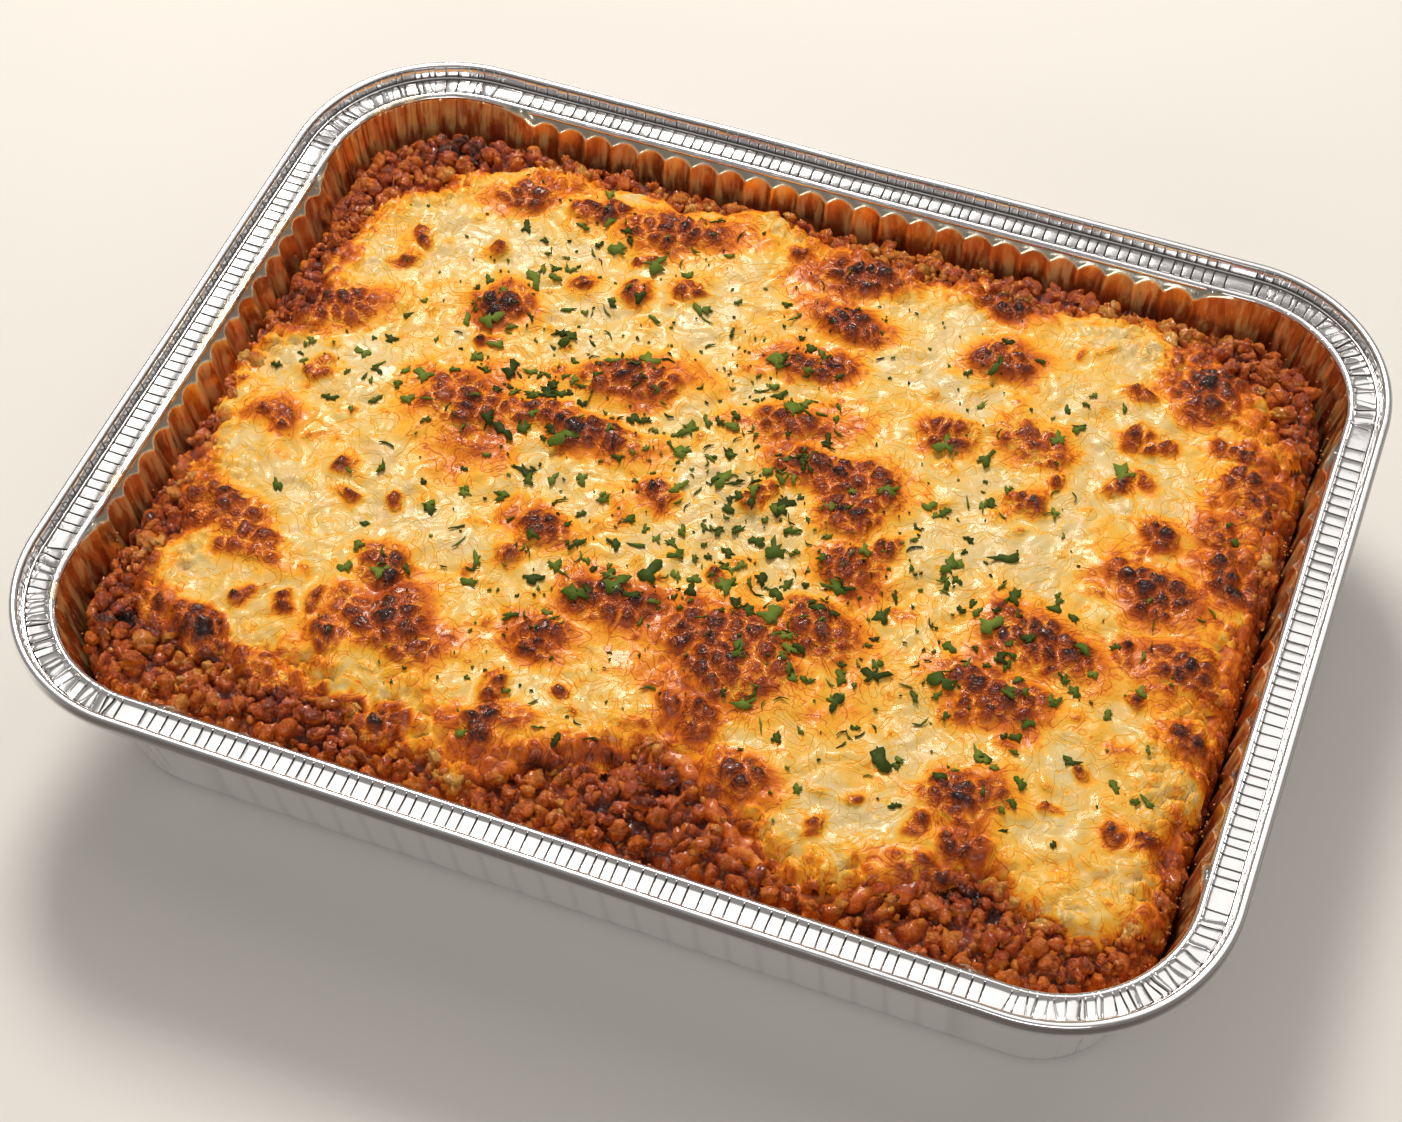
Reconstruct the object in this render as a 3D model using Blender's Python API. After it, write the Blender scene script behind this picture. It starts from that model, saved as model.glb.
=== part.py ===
"""A baked lasagne in a half-size deep foil tray, in metres.

+X runs along the tray's long side, +Z is up, and the origin is at the middle of the tray's flat base.
The tray is a thin fluted pan with a sunken ledge and a raised rolled rim. In it lie, from the bottom up:
the meat sauce, which shows as a crumbly border, the top pasta sheet, whose lip shows round the cheese,
and the melted cheese, with browned mounds and chopped herb leaves on it.
"""

import math
import random

import bmesh
import bpy
from mathutils import Vector, noise
from mathutils.bvhtree import BVHTree
from mathutils.geometry import delaunay_2d_cdt

MM = 0.001

# Tray: outside sizes
TRAY_LENGTH = 322 * MM
TRAY_WIDTH = 249 * MM
TRAY_HEIGHT = 63 * MM
CORNER_RADIUS = 46 * MM
FOIL = 0.7 * MM

# Tray: section, as distances in from the outer edge of the rim
RIM_ROLL_WIDTH = 2.5 * MM
RIM_ROLL_HEIGHT = 5.2 * MM
LEDGE_DEPTH = 4.2 * MM
OPENING_INSET = 11.8 * MM
WALL_TOP_INSET = 12.8 * MM
WALL_FOOT_INSET = 22.0 * MM
BASE_INSET = 24.4 * MM
LEDGE_BEAD = 0.7 * MM
LEDGE_BEAD_WIDTH = 1.6 * MM
LEDGE_Z = TRAY_HEIGHT - LEDGE_DEPTH
WALL_TOP_Z = LEDGE_Z - 1.6 * MM
WALL_FOOT_Z = 3.0 * MM

# Tray: flutes pressed into the straight stretches of the wall
FLUTES_LONG = 24
FLUTES_SHORT = 16
FLUTE_DEPTH = 0.9 * MM
CORNER_STEPS = 8

# Food: levels
GAP = 0.35 * MM
WALL_CLEARANCE = FLUTE_DEPTH + 0.5 * MM
SAUCE_AT_WALL_Z = 46.5 * MM
SAUCE_CREST_Z = 49.6 * MM
SAUCE_RELIEF = 1.2 * MM
SHEET_BED_Z = 48.0 * MM
SHEET_THICKNESS = 1.5 * MM
SHEET_RUFFLE = 1.4 * MM
CHEESE_BED_Z = SHEET_BED_Z + SHEET_THICKNESS + 2 * GAP
CHEESE_EDGE_Z = CHEESE_BED_Z + 1.1 * MM
CHEESE_LEVEL_Z = 53.6 * MM
CHEESE_SHOULDER = 9.0 * MM
CHEESE_WAVES = 0.8 * MM

# Food: how far in from the sauce's outer edge the border of bare sauce reaches
BORDER = 7.5 * MM
LIP_INSET = 0.5 * MM
LIP_WIDTH = 1.2 * MM
FOOD_SIDE_STEPS = (32, 23)
FOOD_CORNER_STEPS = 6
BORDER_RINGS = 4
CHEESE_GRID = 6.8 * MM

# Places where the border of bare sauce is wider (or, below 0, narrower): x, y, half width, extra, in mm
BAYS = (
    (-138, 98, 24, 15),
    (28, 108, 26, 3),
    (125, 98, 26, 13),
    (-22, 108, 13, -6),
    (-145, 34, 16, 3),
    (-145, -48, 13, 6),
    (-125, -100, 26, 15),
    (-72, -108, 26, 8),
    (14, -108, 23, 22),
    (58, -108, 14, -5),
    (112, -104, 30, 17),
)

# Places where more of the pasta's lip shows: x, y, half width, extra, in mm
LIPS = (
    (146, -15, 42, 4.2),
    (142, -75, 16, 2.5),
    (22, -100, 26, 4.0),
    (84, -104, 22, 3.0),
)

# Browned mounds of the cheese: x, y, half length, half width, turn in degrees, height, in mm
MOUNDS = (
    (-80, 45, 8, 7, 0, 3.0),
    (-126, 27, 15, 9, 20, 3.0),
    (-76, 6, 16, 13, -30, 4.0),
    (-41, 9, 18, 6, -5, 3.6),
    (-36, 30, 16, 8, 15, 3.4),
    (-68, 87, 9, 5, 10, 2.6),
    (-44, 88, 13, 8, 20, 3.0),
    (-91, 85, 10, 6, 30, 2.4),
    (12, 90, 18, 8, 25, 3.4),
    (12, 70, 14, 6, -10, 3.0),
    (8, 53, 14, 6, 15, 2.4),
    (57, 72, 10, 7, 20, 2.8),
    (72, 48, 11, 8, -20, 3.0),
    (51, 42, 9, 6, 0, 2.6),
    (9, 31, 14, 8, 10, 2.8),
    (33, 20, 17, 8, -15, 3.8),
    (41, -9, 11, 10, 40, 3.2),
    (20, -47, 20, 14, -20, 4.6),
    (39, -33, 14, 8, -10, 3.2),
    (-15, -42, 15, 8, 15, 2.8),
    (-28, -57, 9, 6, 0, 2.2),
    (-64, -68, 17, 11, -15, 3.6),
    (-74, -51, 9, 5, 10, 2.2),
    (-124, -48, 15, 8, -15, 3.2),
    (-124, -13, 7, 6, 0, 2.8),
    (-42, -25, 9, 7, -20, 2.6),
    (95, -16, 16, 9, -20, 3.8),
    (86, -34, 15, 9, -15, 3.6),
    (89, -67, 12, 7, 15, 3.2),
    (113, 28, 7, 6, 0, 3.0),
    (115, 11, 15, 8, -30, 3.2),
    (132, 22, 8, 8, 0, 2.6),
    (131, 51, 10, 9, -30, 3.0),
    (130, -12, 11, 10, 0, 3.4),
    (112, 82, 13, 11, -30, 4.0),
    (53, 93, 9, 5, 0, 2.6),
    (-30, -87, 10, 8, 0, 3.4),
)

# Chopped herb leaves fused to the cheese
LEAVES = 54
LEAF_SIZE = (5.0 * MM, 8.0 * MM)
LEAF_THICKNESS = 1.5 * MM
LEAF_BAND_TURN = -24
LEAF_BAND_SPREAD = (62 * MM, 34 * MM)
LEAF_FIELD = (116 * MM, 80 * MM)
LEAF_SPACING = 9.5 * MM

# Crumbs of mince fused to the bare sauce
CRUMBS = 56
CRUMB_SIZE = (5.0 * MM, 9.0 * MM)
CRUMB_SPACING = 9.0 * MM

SEED = 7


def clear_scene():
    for thing in list(bpy.data.objects):
        bpy.data.objects.remove(thing, do_unlink=True)


def plain_material(name, colour, roughness, metallic=0.0):
    material = bpy.data.materials.new(name)
    material.use_nodes = True
    shader = material.node_tree.nodes["Principled BSDF"]
    shader.inputs["Base Color"].default_value = (*colour, 1.0)
    shader.inputs["Roughness"].default_value = roughness
    shader.inputs["Metallic"].default_value = metallic
    return material


def new_object(name, mesh, material):
    thing = bpy.data.objects.new(name, mesh)
    thing.data.materials.append(material)
    bpy.context.scene.collection.objects.link(thing)
    return thing


def outline(inset, side_steps, corner_steps):
    """Points and outward normals of the tray's rounded rectangle, this far in from its outer edge.

    All insets share one set of straight stretches and one centre for each corner, so that rings of
    the same steps match point for point. It runs anticlockwise from the right-hand side.
    """
    half_x = TRAY_LENGTH / 2 - CORNER_RADIUS
    half_y = TRAY_WIDTH / 2 - CORNER_RADIUS
    radius = CORNER_RADIUS - inset
    long_steps, short_steps = side_steps
    centres = ((half_x, half_y), (-half_x, half_y), (-half_x, -half_y), (half_x, -half_y))
    points = []
    for quarter, (x, y) in enumerate(centres):
        steps = long_steps if quarter % 2 == 0 else short_steps
        for step in range(corner_steps):
            turn = math.radians(90 * (quarter + step / corner_steps))
            normal = Vector((math.cos(turn), math.sin(turn)))
            points.append((Vector((x, y)) + radius * normal, normal))
        turn = math.radians(90 * (quarter + 1))
        normal = Vector((round(math.cos(turn)), round(math.sin(turn))))
        start = Vector((x, y)) + radius * normal
        end = Vector(centres[(quarter + 1) % 4]) + radius * normal
        for step in range(steps):
            points.append((start.lerp(end, step / steps), normal))
    return points


def ring_faces(mesh, rings, close=False):
    """Quads between each ring of vertices and the next, and back to the first if closed."""
    pairs = list(zip(rings, rings[1:] + rings[:1] if close else rings[1:]))
    for inner, outer in pairs:
        for k in range(len(inner)):
            after = (k + 1) % len(inner)
            mesh.faces.new((inner[k], inner[after], outer[after], outer[k]))


def finished_mesh(name, mesh, smooth_angle=35):
    bmesh.ops.recalc_face_normals(mesh, faces=mesh.faces)
    data = bpy.data.meshes.new(name)
    mesh.to_mesh(data)
    mesh.free()
    data.shade_smooth()
    data.set_sharp_from_angle(angle=math.radians(smooth_angle))
    return data


def wall_inset(z):
    """The inner face of the wall at this height, as a distance in from the rim's outer edge."""
    share = (z - WALL_FOOT_Z) / (WALL_TOP_Z - WALL_FOOT_Z)
    return WALL_FOOT_INSET + (WALL_TOP_INSET - WALL_FOOT_INSET) * share


def tray_section():
    """The foil's section as (inset, height, flute depth), from the floor out over the rim and back."""
    under = LEDGE_Z - FOIL
    return (
        (BASE_INSET, FOIL, 0),
        (WALL_FOOT_INSET, WALL_FOOT_Z, FLUTE_DEPTH * 0.5),
        (WALL_TOP_INSET, WALL_TOP_Z, FLUTE_DEPTH),
        (OPENING_INSET, LEDGE_Z + LEDGE_BEAD * 0.4, 0),
        (OPENING_INSET - LEDGE_BEAD_WIDTH / 2, LEDGE_Z + LEDGE_BEAD, 0),
        (OPENING_INSET - LEDGE_BEAD_WIDTH, LEDGE_Z, 0),
        (RIM_ROLL_WIDTH + 0.3 * MM, LEDGE_Z, 0),
        (RIM_ROLL_WIDTH * 0.8, TRAY_HEIGHT - 0.3 * MM, 0),
        (RIM_ROLL_WIDTH * 0.45, TRAY_HEIGHT, 0),
        (0, TRAY_HEIGHT - 0.9 * MM, 0),
        (0, TRAY_HEIGHT - RIM_ROLL_HEIGHT + 0.7 * MM, 0),
        (RIM_ROLL_WIDTH * 0.6, TRAY_HEIGHT - RIM_ROLL_HEIGHT, 0),
        (OPENING_INSET - FOIL, under, 0),
        (WALL_TOP_INSET - FOIL, WALL_TOP_Z - FOIL, FLUTE_DEPTH),
        (WALL_FOOT_INSET - FOIL, WALL_FOOT_Z - FOIL * 0.5, FLUTE_DEPTH * 0.5),
        (BASE_INSET - FOIL * 0.5, 0, 0),
    )


def foil_tray():
    side_steps = (FLUTES_LONG * 2, FLUTES_SHORT * 2)
    mesh = bmesh.new()
    rings = []
    for inset, height, flute in tray_section():
        ring = []
        for k, (point, normal) in enumerate(outline(inset, side_steps, CORNER_STEPS)):
            on_straight = max(abs(normal.x), abs(normal.y)) > 0.9999
            sway = flute * (1 if k % 2 else -1) * on_straight
            x, y = point + normal * sway
            ring.append(mesh.verts.new((x, y, height)))
        rings.append(ring)
    ring_faces(mesh, rings)
    mesh.faces.new(rings[0])
    mesh.faces.new(rings[-1])
    foil = plain_material("foil", (0.78, 0.78, 0.79), 0.28, 1.0)
    return new_object("foil_tray", finished_mesh("foil_tray", mesh), foil)


def swell(x, y, places):
    """The extra width at a point of the edge: the sum of smooth swells round the listed places."""
    extra = 0.0
    for place_x, place_y, half_width, most in places:
        away = math.hypot(x / MM - place_x, y / MM - place_y) / half_width
        extra += most * MM * math.exp(-away * away)
    return extra


def border_width(x, y):
    """How far in from the sauce's outer edge the bare sauce reaches, at a point of that edge."""
    return BORDER + 1.2 * MM * math.sin(x * 190 + 1.0) * math.cos(y * 150) + swell(x, y, BAYS)


def lip_width(x, y):
    """How far the pasta's lip stands out from under the cheese, at a point of the sauce's edge."""
    return LIP_WIDTH + swell(x, y, LIPS)


def sauce_edge():
    inset = wall_inset(SAUCE_AT_WALL_Z) + WALL_CLEARANCE
    return [point for point, _ in outline(inset, FOOD_SIDE_STEPS, FOOD_CORNER_STEPS)]


def inner_ring(share, beyond=0.0, lip=0.0):
    """The sauce's outer edge moved in by shares of the border's and lip's widths and a distance more.

    Each point moves straight towards a small rectangle in the middle, so that no paths cross.
    """
    core_x, core_y = TRAY_LENGTH / 2 - 76 * MM, TRAY_WIDTH / 2 - 76 * MM
    moved = []
    for point in sauce_edge():
        x, y = point
        core = Vector((max(-core_x, min(core_x, x)), max(-core_y, min(core_y, y))))
        reach = share * border_width(x, y) + lip * lip_width(x, y) + beyond
        moved.append(point + (core - point).normalized() * reach)
    return moved


def lumps(x, y, size):
    """Uneven relief between -1 and 1 whose bumps are about this wide."""
    return noise.noise(Vector((x / size, y / size, 0.5))) * 2


def sauce_height(x, y, share):
    """The top of the bare sauce, at a share of the way from the wall to the pasta's lip."""
    rise = (SAUCE_CREST_Z - SAUCE_AT_WALL_Z) * math.sin(math.pi / 2 * min(1, share * 1.6))
    relief = SAUCE_RELIEF * lumps(x, y, 7 * MM) * min(1, share * 4)
    return max(SAUCE_AT_WALL_Z + rise + relief, SHEET_BED_Z + GAP if share == 1 else 0)


def sauce_body():
    mesh = bmesh.new()
    rings = []
    top_inset = wall_inset(SAUCE_AT_WALL_Z) + WALL_CLEARANCE
    for inset, height in (
        (BASE_INSET + WALL_CLEARANCE, FOIL + GAP),
        (WALL_FOOT_INSET + WALL_CLEARANCE, WALL_FOOT_Z + GAP),
        (top_inset, SAUCE_AT_WALL_Z),
    ):
        points = outline(inset, FOOD_SIDE_STEPS, FOOD_CORNER_STEPS)
        rings.append([mesh.verts.new((*point, height)) for point, _ in points])
    for k in range(1, BORDER_RINGS + 1):
        share = k / BORDER_RINGS
        rings.append([mesh.verts.new((x, y, sauce_height(x, y, share))) for x, y in inner_ring(share)])
    rings.append([mesh.verts.new((x, y, SHEET_BED_Z)) for x, y in inner_ring(1)])
    ring_faces(mesh, rings)
    mesh.faces.new(rings[0])
    mesh.faces.new(rings[-1])
    return finished_mesh("meat_sauce", mesh, 50)


def spread(count, spacing, place):
    """Up to this many random places, no two closer than the spacing."""
    found = []
    for _ in range(count * 60):
        spot = place()
        if len(found) < count and all(math.dist(spot[:2], other[:2]) > spacing for other in found):
            found.append(spot)
    return found


def crumb_places(rng):
    """Places on the bare sauce, each with its height and the width of its crumb."""
    outer, inner = inner_ring(0), inner_ring(1)

    def place():
        k = rng.randrange(len(outer))
        width = (inner[k] - outer[k]).length
        size = min(rng.uniform(*CRUMB_SIZE), width * 0.8)
        clear = size * 0.6 / width
        share = rng.uniform(clear, max(clear, 1 - clear))
        x, y = outer[k].lerp(inner[k], share)
        return (x, y, sauce_height(x, y, share), size)

    return spread(CRUMBS, CRUMB_SPACING, place)


def crumb(spot, rng):
    """One crumb of mince: a rough low lump, half sunk in the sauce."""
    mesh = bmesh.new()
    bmesh.ops.create_icosphere(mesh, subdivisions=1, radius=0.5)
    size = spot[3]
    squash = Vector((1, rng.uniform(0.65, 0.9), rng.uniform(0.6, 0.8))) * size
    turn = rng.uniform(0, math.tau)
    for vertex in mesh.verts:
        rough = 1 + rng.uniform(-0.12, 0.12)
        x, y, z = (vertex.co[axis] * squash[axis] * rough for axis in range(3))
        vertex.co = (
            spot[0] + x * math.cos(turn) - y * math.sin(turn),
            spot[1] + x * math.sin(turn) + y * math.cos(turn),
            spot[2] + 0.3 * MM + z,
        )
    data = bpy.data.meshes.new("crumb")
    mesh.to_mesh(data)
    mesh.free()
    return data


def fused(body, pieces, solver="EXACT"):
    """The body with the pieces joined on by one Boolean union, which is applied."""
    group = bpy.data.collections.new(body.name + "_pieces")
    bpy.context.scene.collection.children.link(group)
    for data in pieces:
        group.objects.link(bpy.data.objects.new(data.name, data))
    union = body.modifiers.new("join", "BOOLEAN")
    union.operation = "UNION"
    union.operand_type = "COLLECTION"
    union.collection = group
    union.solver = solver
    bpy.context.view_layer.update()
    joined = bpy.data.meshes.new_from_object(body.evaluated_get(bpy.context.evaluated_depsgraph_get()))
    body.modifiers.clear()
    joined.name = body.name
    body.data = joined
    for piece in list(group.objects):
        bpy.data.objects.remove(piece, do_unlink=True)
    bpy.data.collections.remove(group)
    body.data.shade_smooth()
    body.data.set_sharp_from_angle(angle=math.radians(50))
    return body


def meat_sauce():
    rng = random.Random(SEED)
    sauce = plain_material("meat_sauce", (0.36, 0.075, 0.02), 0.35)
    body = new_object("meat_sauce", sauce_body(), sauce)
    return fused(body, [crumb(spot, rng) for spot in crumb_places(rng)])


def pasta_sheet():
    """The top sheet of pasta: a flat slab through the food, whose ruffled lip stands out past the cheese."""
    mesh = bmesh.new()
    low, high = SHEET_BED_Z + GAP, SHEET_BED_Z + GAP + SHEET_THICKNESS
    flat = inner_ring(1, LIP_INSET, 1)
    lip = inner_ring(1, LIP_INSET)
    rings = []
    for points, height, wave in ((flat, high, 0), (lip, high, 1), (lip, low, 1), (flat, low, 0)):
        ring = []
        for k, (x, y) in enumerate(points):
            rise = wave * SHEET_RUFFLE * (0.5 + 0.5 * math.sin(k * 2.1 + 2 * math.sin(k * 0.31)))
            ring.append(mesh.verts.new((x, y, height + rise)))
        rings.append(ring)
    ring_faces(mesh, rings)
    mesh.faces.new(rings[0])
    mesh.faces.new(rings[-1])
    pasta = plain_material("pasta", (0.75, 0.42, 0.13), 0.45)
    return new_object("pasta_sheet", finished_mesh("pasta_sheet", mesh), pasta)


def mound_height(x, y):
    """The tallest browned mound here: each is a smooth oval dome."""
    tallest = 0.0
    for centre_x, centre_y, half_length, half_width, turn, height in MOUNDS:
        angle = math.radians(turn)
        dx, dy = x / MM - centre_x, y / MM - centre_y
        along = (dx * math.cos(angle) + dy * math.sin(angle)) / half_length
        across = (dy * math.cos(angle) - dx * math.sin(angle)) / half_width
        tallest = max(tallest, height * MM * math.exp(-1.1 * (along**2 + across**2)))
    return tallest


def cheese_height(x, y, from_edge):
    """The top of the cheese: it rises over a rounded shoulder to a level with waves and craggy mounds."""
    shoulder = math.sin(math.pi / 2 * min(1, from_edge / CHEESE_SHOULDER))
    level = CHEESE_EDGE_Z + (CHEESE_LEVEL_Z - CHEESE_EDGE_Z) * shoulder
    waves = CHEESE_WAVES * shoulder * lumps(x, y, 34 * MM)
    crags = 1 + 0.35 * lumps(x, y, 8 * MM)
    return level + waves + mound_height(x, y) * crags * (0.3 + 0.7 * shoulder)


def distance_to_ring(point, ring):
    nearest = 1.0
    for k, start in enumerate(ring):
        end = ring[(k + 1) % len(ring)]
        side = end - start
        share = max(0, min(1, (point - start).dot(side) / side.length_squared))
        nearest = min(nearest, (point - start - side * share).length)
    return nearest


def cheese_body():
    edge = inner_ring(1, LIP_INSET + GAP, 1)
    across = int(TRAY_LENGTH / 2 / CHEESE_GRID)
    points = list(edge)
    for column in range(-across, across + 1):
        for row in range(-across, across + 1):
            shift = 0.5 * (row % 2)
            points.append(Vector(((column + shift) * CHEESE_GRID, row * CHEESE_GRID * 0.87)))
    loop = [(k, (k + 1) % len(edge)) for k in range(len(edge))]
    inside = points[: len(edge)]
    inside += [p for p in points[len(edge) :] if is_inside(p, edge) and distance_to_ring(p, edge) > 0.4 * CHEESE_GRID]
    verts, _, faces, *_ = delaunay_2d_cdt(inside, loop, [], 1, 1e-7)
    mesh = bmesh.new()
    top = []
    for place in verts:
        height = cheese_height(place.x, place.y, distance_to_ring(place, edge))
        top.append(mesh.verts.new((place.x, place.y, height)))
    for face in faces:
        mesh.faces.new([top[k] for k in face])
    rim = [top[k] for k in range(len(edge))]
    foot = [mesh.verts.new((vertex.co.x, vertex.co.y, CHEESE_BED_Z)) for vertex in rim]
    ring_faces(mesh, [rim, foot])
    mesh.faces.new(foot)
    return finished_mesh("cheese", mesh, 60)


def is_inside(point, ring):
    """Whether a ray from the point towards +X crosses the ring an odd number of times."""
    inside = False
    for k, start in enumerate(ring):
        end = ring[(k + 1) % len(ring)]
        if (start.y > point.y) != (end.y > point.y):
            crossing = start.x + (point.y - start.y) * (end.x - start.x) / (end.y - start.y)
            if crossing > point.x:
                inside = not inside
    return inside


def leaf_places(rng):
    """Places for the leaves, densest along a slanting band over the middle of the cheese."""

    def place():
        turn = math.radians(LEAF_BAND_TURN)
        while True:
            along, across = (rng.gauss(0, reach) for reach in LEAF_BAND_SPREAD)
            x = along * math.cos(turn) - across * math.sin(turn)
            y = along * math.sin(turn) + across * math.cos(turn)
            if abs(x) < LEAF_FIELD[0] and abs(y) < LEAF_FIELD[1]:
                return (x, y)

    return spread(LEAVES, LEAF_SPACING, place)


def leaf(spot, surface, rng):
    """A scrap of chopped herb: a thin three-lobed plate that leans a little, half sunk in the cheese."""
    size = rng.uniform(*LEAF_SIZE)
    turn, lean = rng.uniform(0, math.tau), rng.uniform(-0.12, 0.12)
    middle = surface.ray_cast(Vector((*spot, 1)), Vector((0, 0, -1)))[0].z + 0.35 * MM
    mesh = bmesh.new()
    sides = []
    for lift in (-LEAF_THICKNESS / 2, LEAF_THICKNESS / 2):
        ring = []
        for k in range(6):
            reach = size * (0.5 if k % 2 == 0 else 0.2)
            angle = math.tau * k / 6
            along, across = reach * math.cos(angle), reach * math.sin(angle)
            x = along * math.cos(turn) - across * math.sin(turn)
            y = along * math.sin(turn) + across * math.cos(turn)
            ring.append(mesh.verts.new((spot[0] + x, spot[1] + y, middle + lift + lean * along)))
        sides.append(ring)
    ring_faces(mesh, sides)
    for ring in sides:
        mesh.faces.new(ring)
    bmesh.ops.recalc_face_normals(mesh, faces=mesh.faces)
    data = bpy.data.meshes.new("leaf")
    mesh.to_mesh(data)
    mesh.free()
    return data


def cheese():
    rng = random.Random(SEED + 1)
    golden = plain_material("cheese", (0.86, 0.62, 0.27), 0.4)
    body = new_object("cheese", cheese_body(), golden)
    corners = [vertex.co for vertex in body.data.vertices]
    surface = BVHTree.FromPolygons(corners, [tuple(face.vertices) for face in body.data.polygons])
    return fused(body, [leaf(spot, surface, rng) for spot in leaf_places(rng)])


def main():
    clear_scene()
    foil_tray()
    meat_sauce()
    pasta_sheet()
    cheese()


main()
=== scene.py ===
# %% [markdown]
# # A baked lasagne in a foil tray
# This lesson dresses a plain CAD model of a tray meal: a bright pressed-foil tray, a crumbly border of
# meat sauce, the lip of a pasta sheet, and melted cheese with browned blisters and chopped herbs.
# The CAD solids give every size. What is made here is the surface that the eye sees.

# %% Load the CAD frame
import math
import random

import bmesh
import bpy
import numpy as np
from mathutils import Matrix, Vector


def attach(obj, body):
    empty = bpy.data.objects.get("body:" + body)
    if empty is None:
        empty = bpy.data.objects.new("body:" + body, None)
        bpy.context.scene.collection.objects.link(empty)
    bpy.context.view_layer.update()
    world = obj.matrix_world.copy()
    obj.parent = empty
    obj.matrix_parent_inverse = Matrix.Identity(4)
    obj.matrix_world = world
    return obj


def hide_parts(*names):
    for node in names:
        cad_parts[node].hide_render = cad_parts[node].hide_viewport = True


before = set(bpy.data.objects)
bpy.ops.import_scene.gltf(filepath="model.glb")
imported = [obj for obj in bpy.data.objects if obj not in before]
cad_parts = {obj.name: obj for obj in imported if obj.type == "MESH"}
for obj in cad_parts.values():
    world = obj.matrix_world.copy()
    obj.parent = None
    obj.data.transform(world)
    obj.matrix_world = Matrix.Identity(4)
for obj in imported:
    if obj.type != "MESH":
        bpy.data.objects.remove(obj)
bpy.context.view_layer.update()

print("CAD nodes:", ", ".join(sorted(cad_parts)))

# %% [markdown]
# ## The camera
# A camera can be placed by hand, but a tray with straight edges tells where it was seen from: the way
# its four sides converge fixes the angle, the height and the lens. The camera stands to the front right
# and looks down at a little over fifty degrees, from three quarters of a metre away.

# %% Camera
AZIMUTH, ELEVATION, ROLL = math.radians(21.7), math.radians(53.16), math.radians(-1.13)
DISTANCE, LENS = 0.760, 68.3
TARGET = Vector((-0.0119, 0.0168, 0.0))

back = Vector(
    (
        math.sin(AZIMUTH) * math.cos(ELEVATION),
        -math.cos(AZIMUTH) * math.cos(ELEVATION),
        math.sin(ELEVATION),
    )
)
level = Vector((0, 0, 1)).cross(back).normalized()
rise = back.cross(level)
right = math.cos(ROLL) * level + math.sin(ROLL) * rise
up = math.cos(ROLL) * rise - math.sin(ROLL) * level

camera = bpy.data.objects.new("camera", bpy.data.cameras.new("camera"))
bpy.context.scene.collection.objects.link(camera)
turn = Matrix((right, up, back)).transposed().to_4x4()
camera.matrix_world = Matrix.Translation(TARGET + DISTANCE * back) @ turn
camera.data.lens = LENS
camera.data.sensor_width = 36
camera.data.clip_start = 0.01
bpy.context.scene.camera = camera
print("Camera at", [round(value, 3) for value in camera.location], "lens", LENS)

# %% [markdown]
# ## Light and floor
# Foil shows what is round it more than its own colour. A small lamp behind and to the left lights the
# tops of the crumbs and leaves their near sides darker. A broad one overhead is what the rim mirrors as
# white, and a weaker one in front keeps the shadows open. The floor is plain, pale and matt.

# %% Lamps and floor
bpy.context.scene.view_settings.view_transform = "Standard"
bpy.context.scene.view_settings.look = "None"


def soft_lamp(name, place, aim, width, depth, watts, tint=(1, 1, 1)):
    """A rectangular lamp at a place, turned to face its aim."""
    lamp = bpy.data.lights.new(name, "AREA")
    lamp.shape = "RECTANGLE"
    lamp.size, lamp.size_y = width, depth
    lamp.energy = watts
    lamp.color = tint
    thing = bpy.data.objects.new(name, lamp)
    bpy.context.scene.collection.objects.link(thing)
    thing.location = place
    thing.rotation_euler = (Vector(place) - Vector(aim)).to_track_quat("Z", "Y").to_euler()


soft_lamp("key", (-0.42, 0.80, 1.14), (0, 0, 0.05), 0.4, 0.4, 17.0, (1.0, 0.95, 0.88))
soft_lamp("top", (0.0, 0.6, 1.5), (0.0, 0.3, 0.05), 2.1, 1.4, 7.4, (1.0, 0.97, 0.94))
soft_lamp("front", (0.4, -1.2, 0.7), (0, 0, 0.05), 0.9, 0.4, 4.0)

world = bpy.data.worlds.new("studio")
world.use_nodes = True
sky = world.node_tree.nodes["Background"]
sky.inputs["Color"].default_value = (1.0, 0.95, 0.9, 1)
sky.inputs["Strength"].default_value = 0.26
bpy.context.scene.world = world

floor_mesh = bpy.data.meshes.new("floor")
floor_mesh.from_pydata([(-3, -3, 0), (3, -3, 0), (3, 3, 0), (-3, 3, 0)], [], [(0, 1, 2, 3)])
floor = bpy.data.objects.new("floor", floor_mesh)
bpy.context.scene.collection.objects.link(floor)
floor_paint = bpy.data.materials.new("pale floor")
floor_paint.use_nodes = True
floor_shader = floor_paint.node_tree.nodes["Principled BSDF"]
floor_shader.inputs["Base Color"].default_value = (0.74, 0.71, 0.67, 1)
floor_shader.inputs["Roughness"].default_value = 0.85
floor_mesh.materials.append(floor_paint)
floor.location.z = -0.0002  # A hair under the tray, so that the two faces don't fight

# %% [markdown]
# ## From arrays to a mesh
# Each surface below is a set of points worked out in millimetres by numpy, on a grid of rows and
# columns. One function puts such arrays into a mesh in metres and says where it belongs in the part.
# The mesh can carry numbers for each point, called marks here, such as how browned the cheese is there,
# which the materials read later.

# %% Arrays into meshes
MM = 0.001


def grid_faces(rows, columns, wrap):
    """Quads of a grid of points: each joins a point, the next in its row, and the two in the next row."""
    row = np.arange(rows - 1)[:, None] * columns
    column = np.arange(columns if wrap else columns - 1)[None, :]
    after = (column + 1) % columns
    quads = np.stack([row + column, row + after, row + columns + after, row + columns + column], -1)
    return quads.reshape(-1, 4)


def lifted(x, y, z):
    """Points from arrays of x and y, with one height for all of them or a height for each."""
    return np.stack([x, y, np.zeros_like(x) + z], -1)


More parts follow.
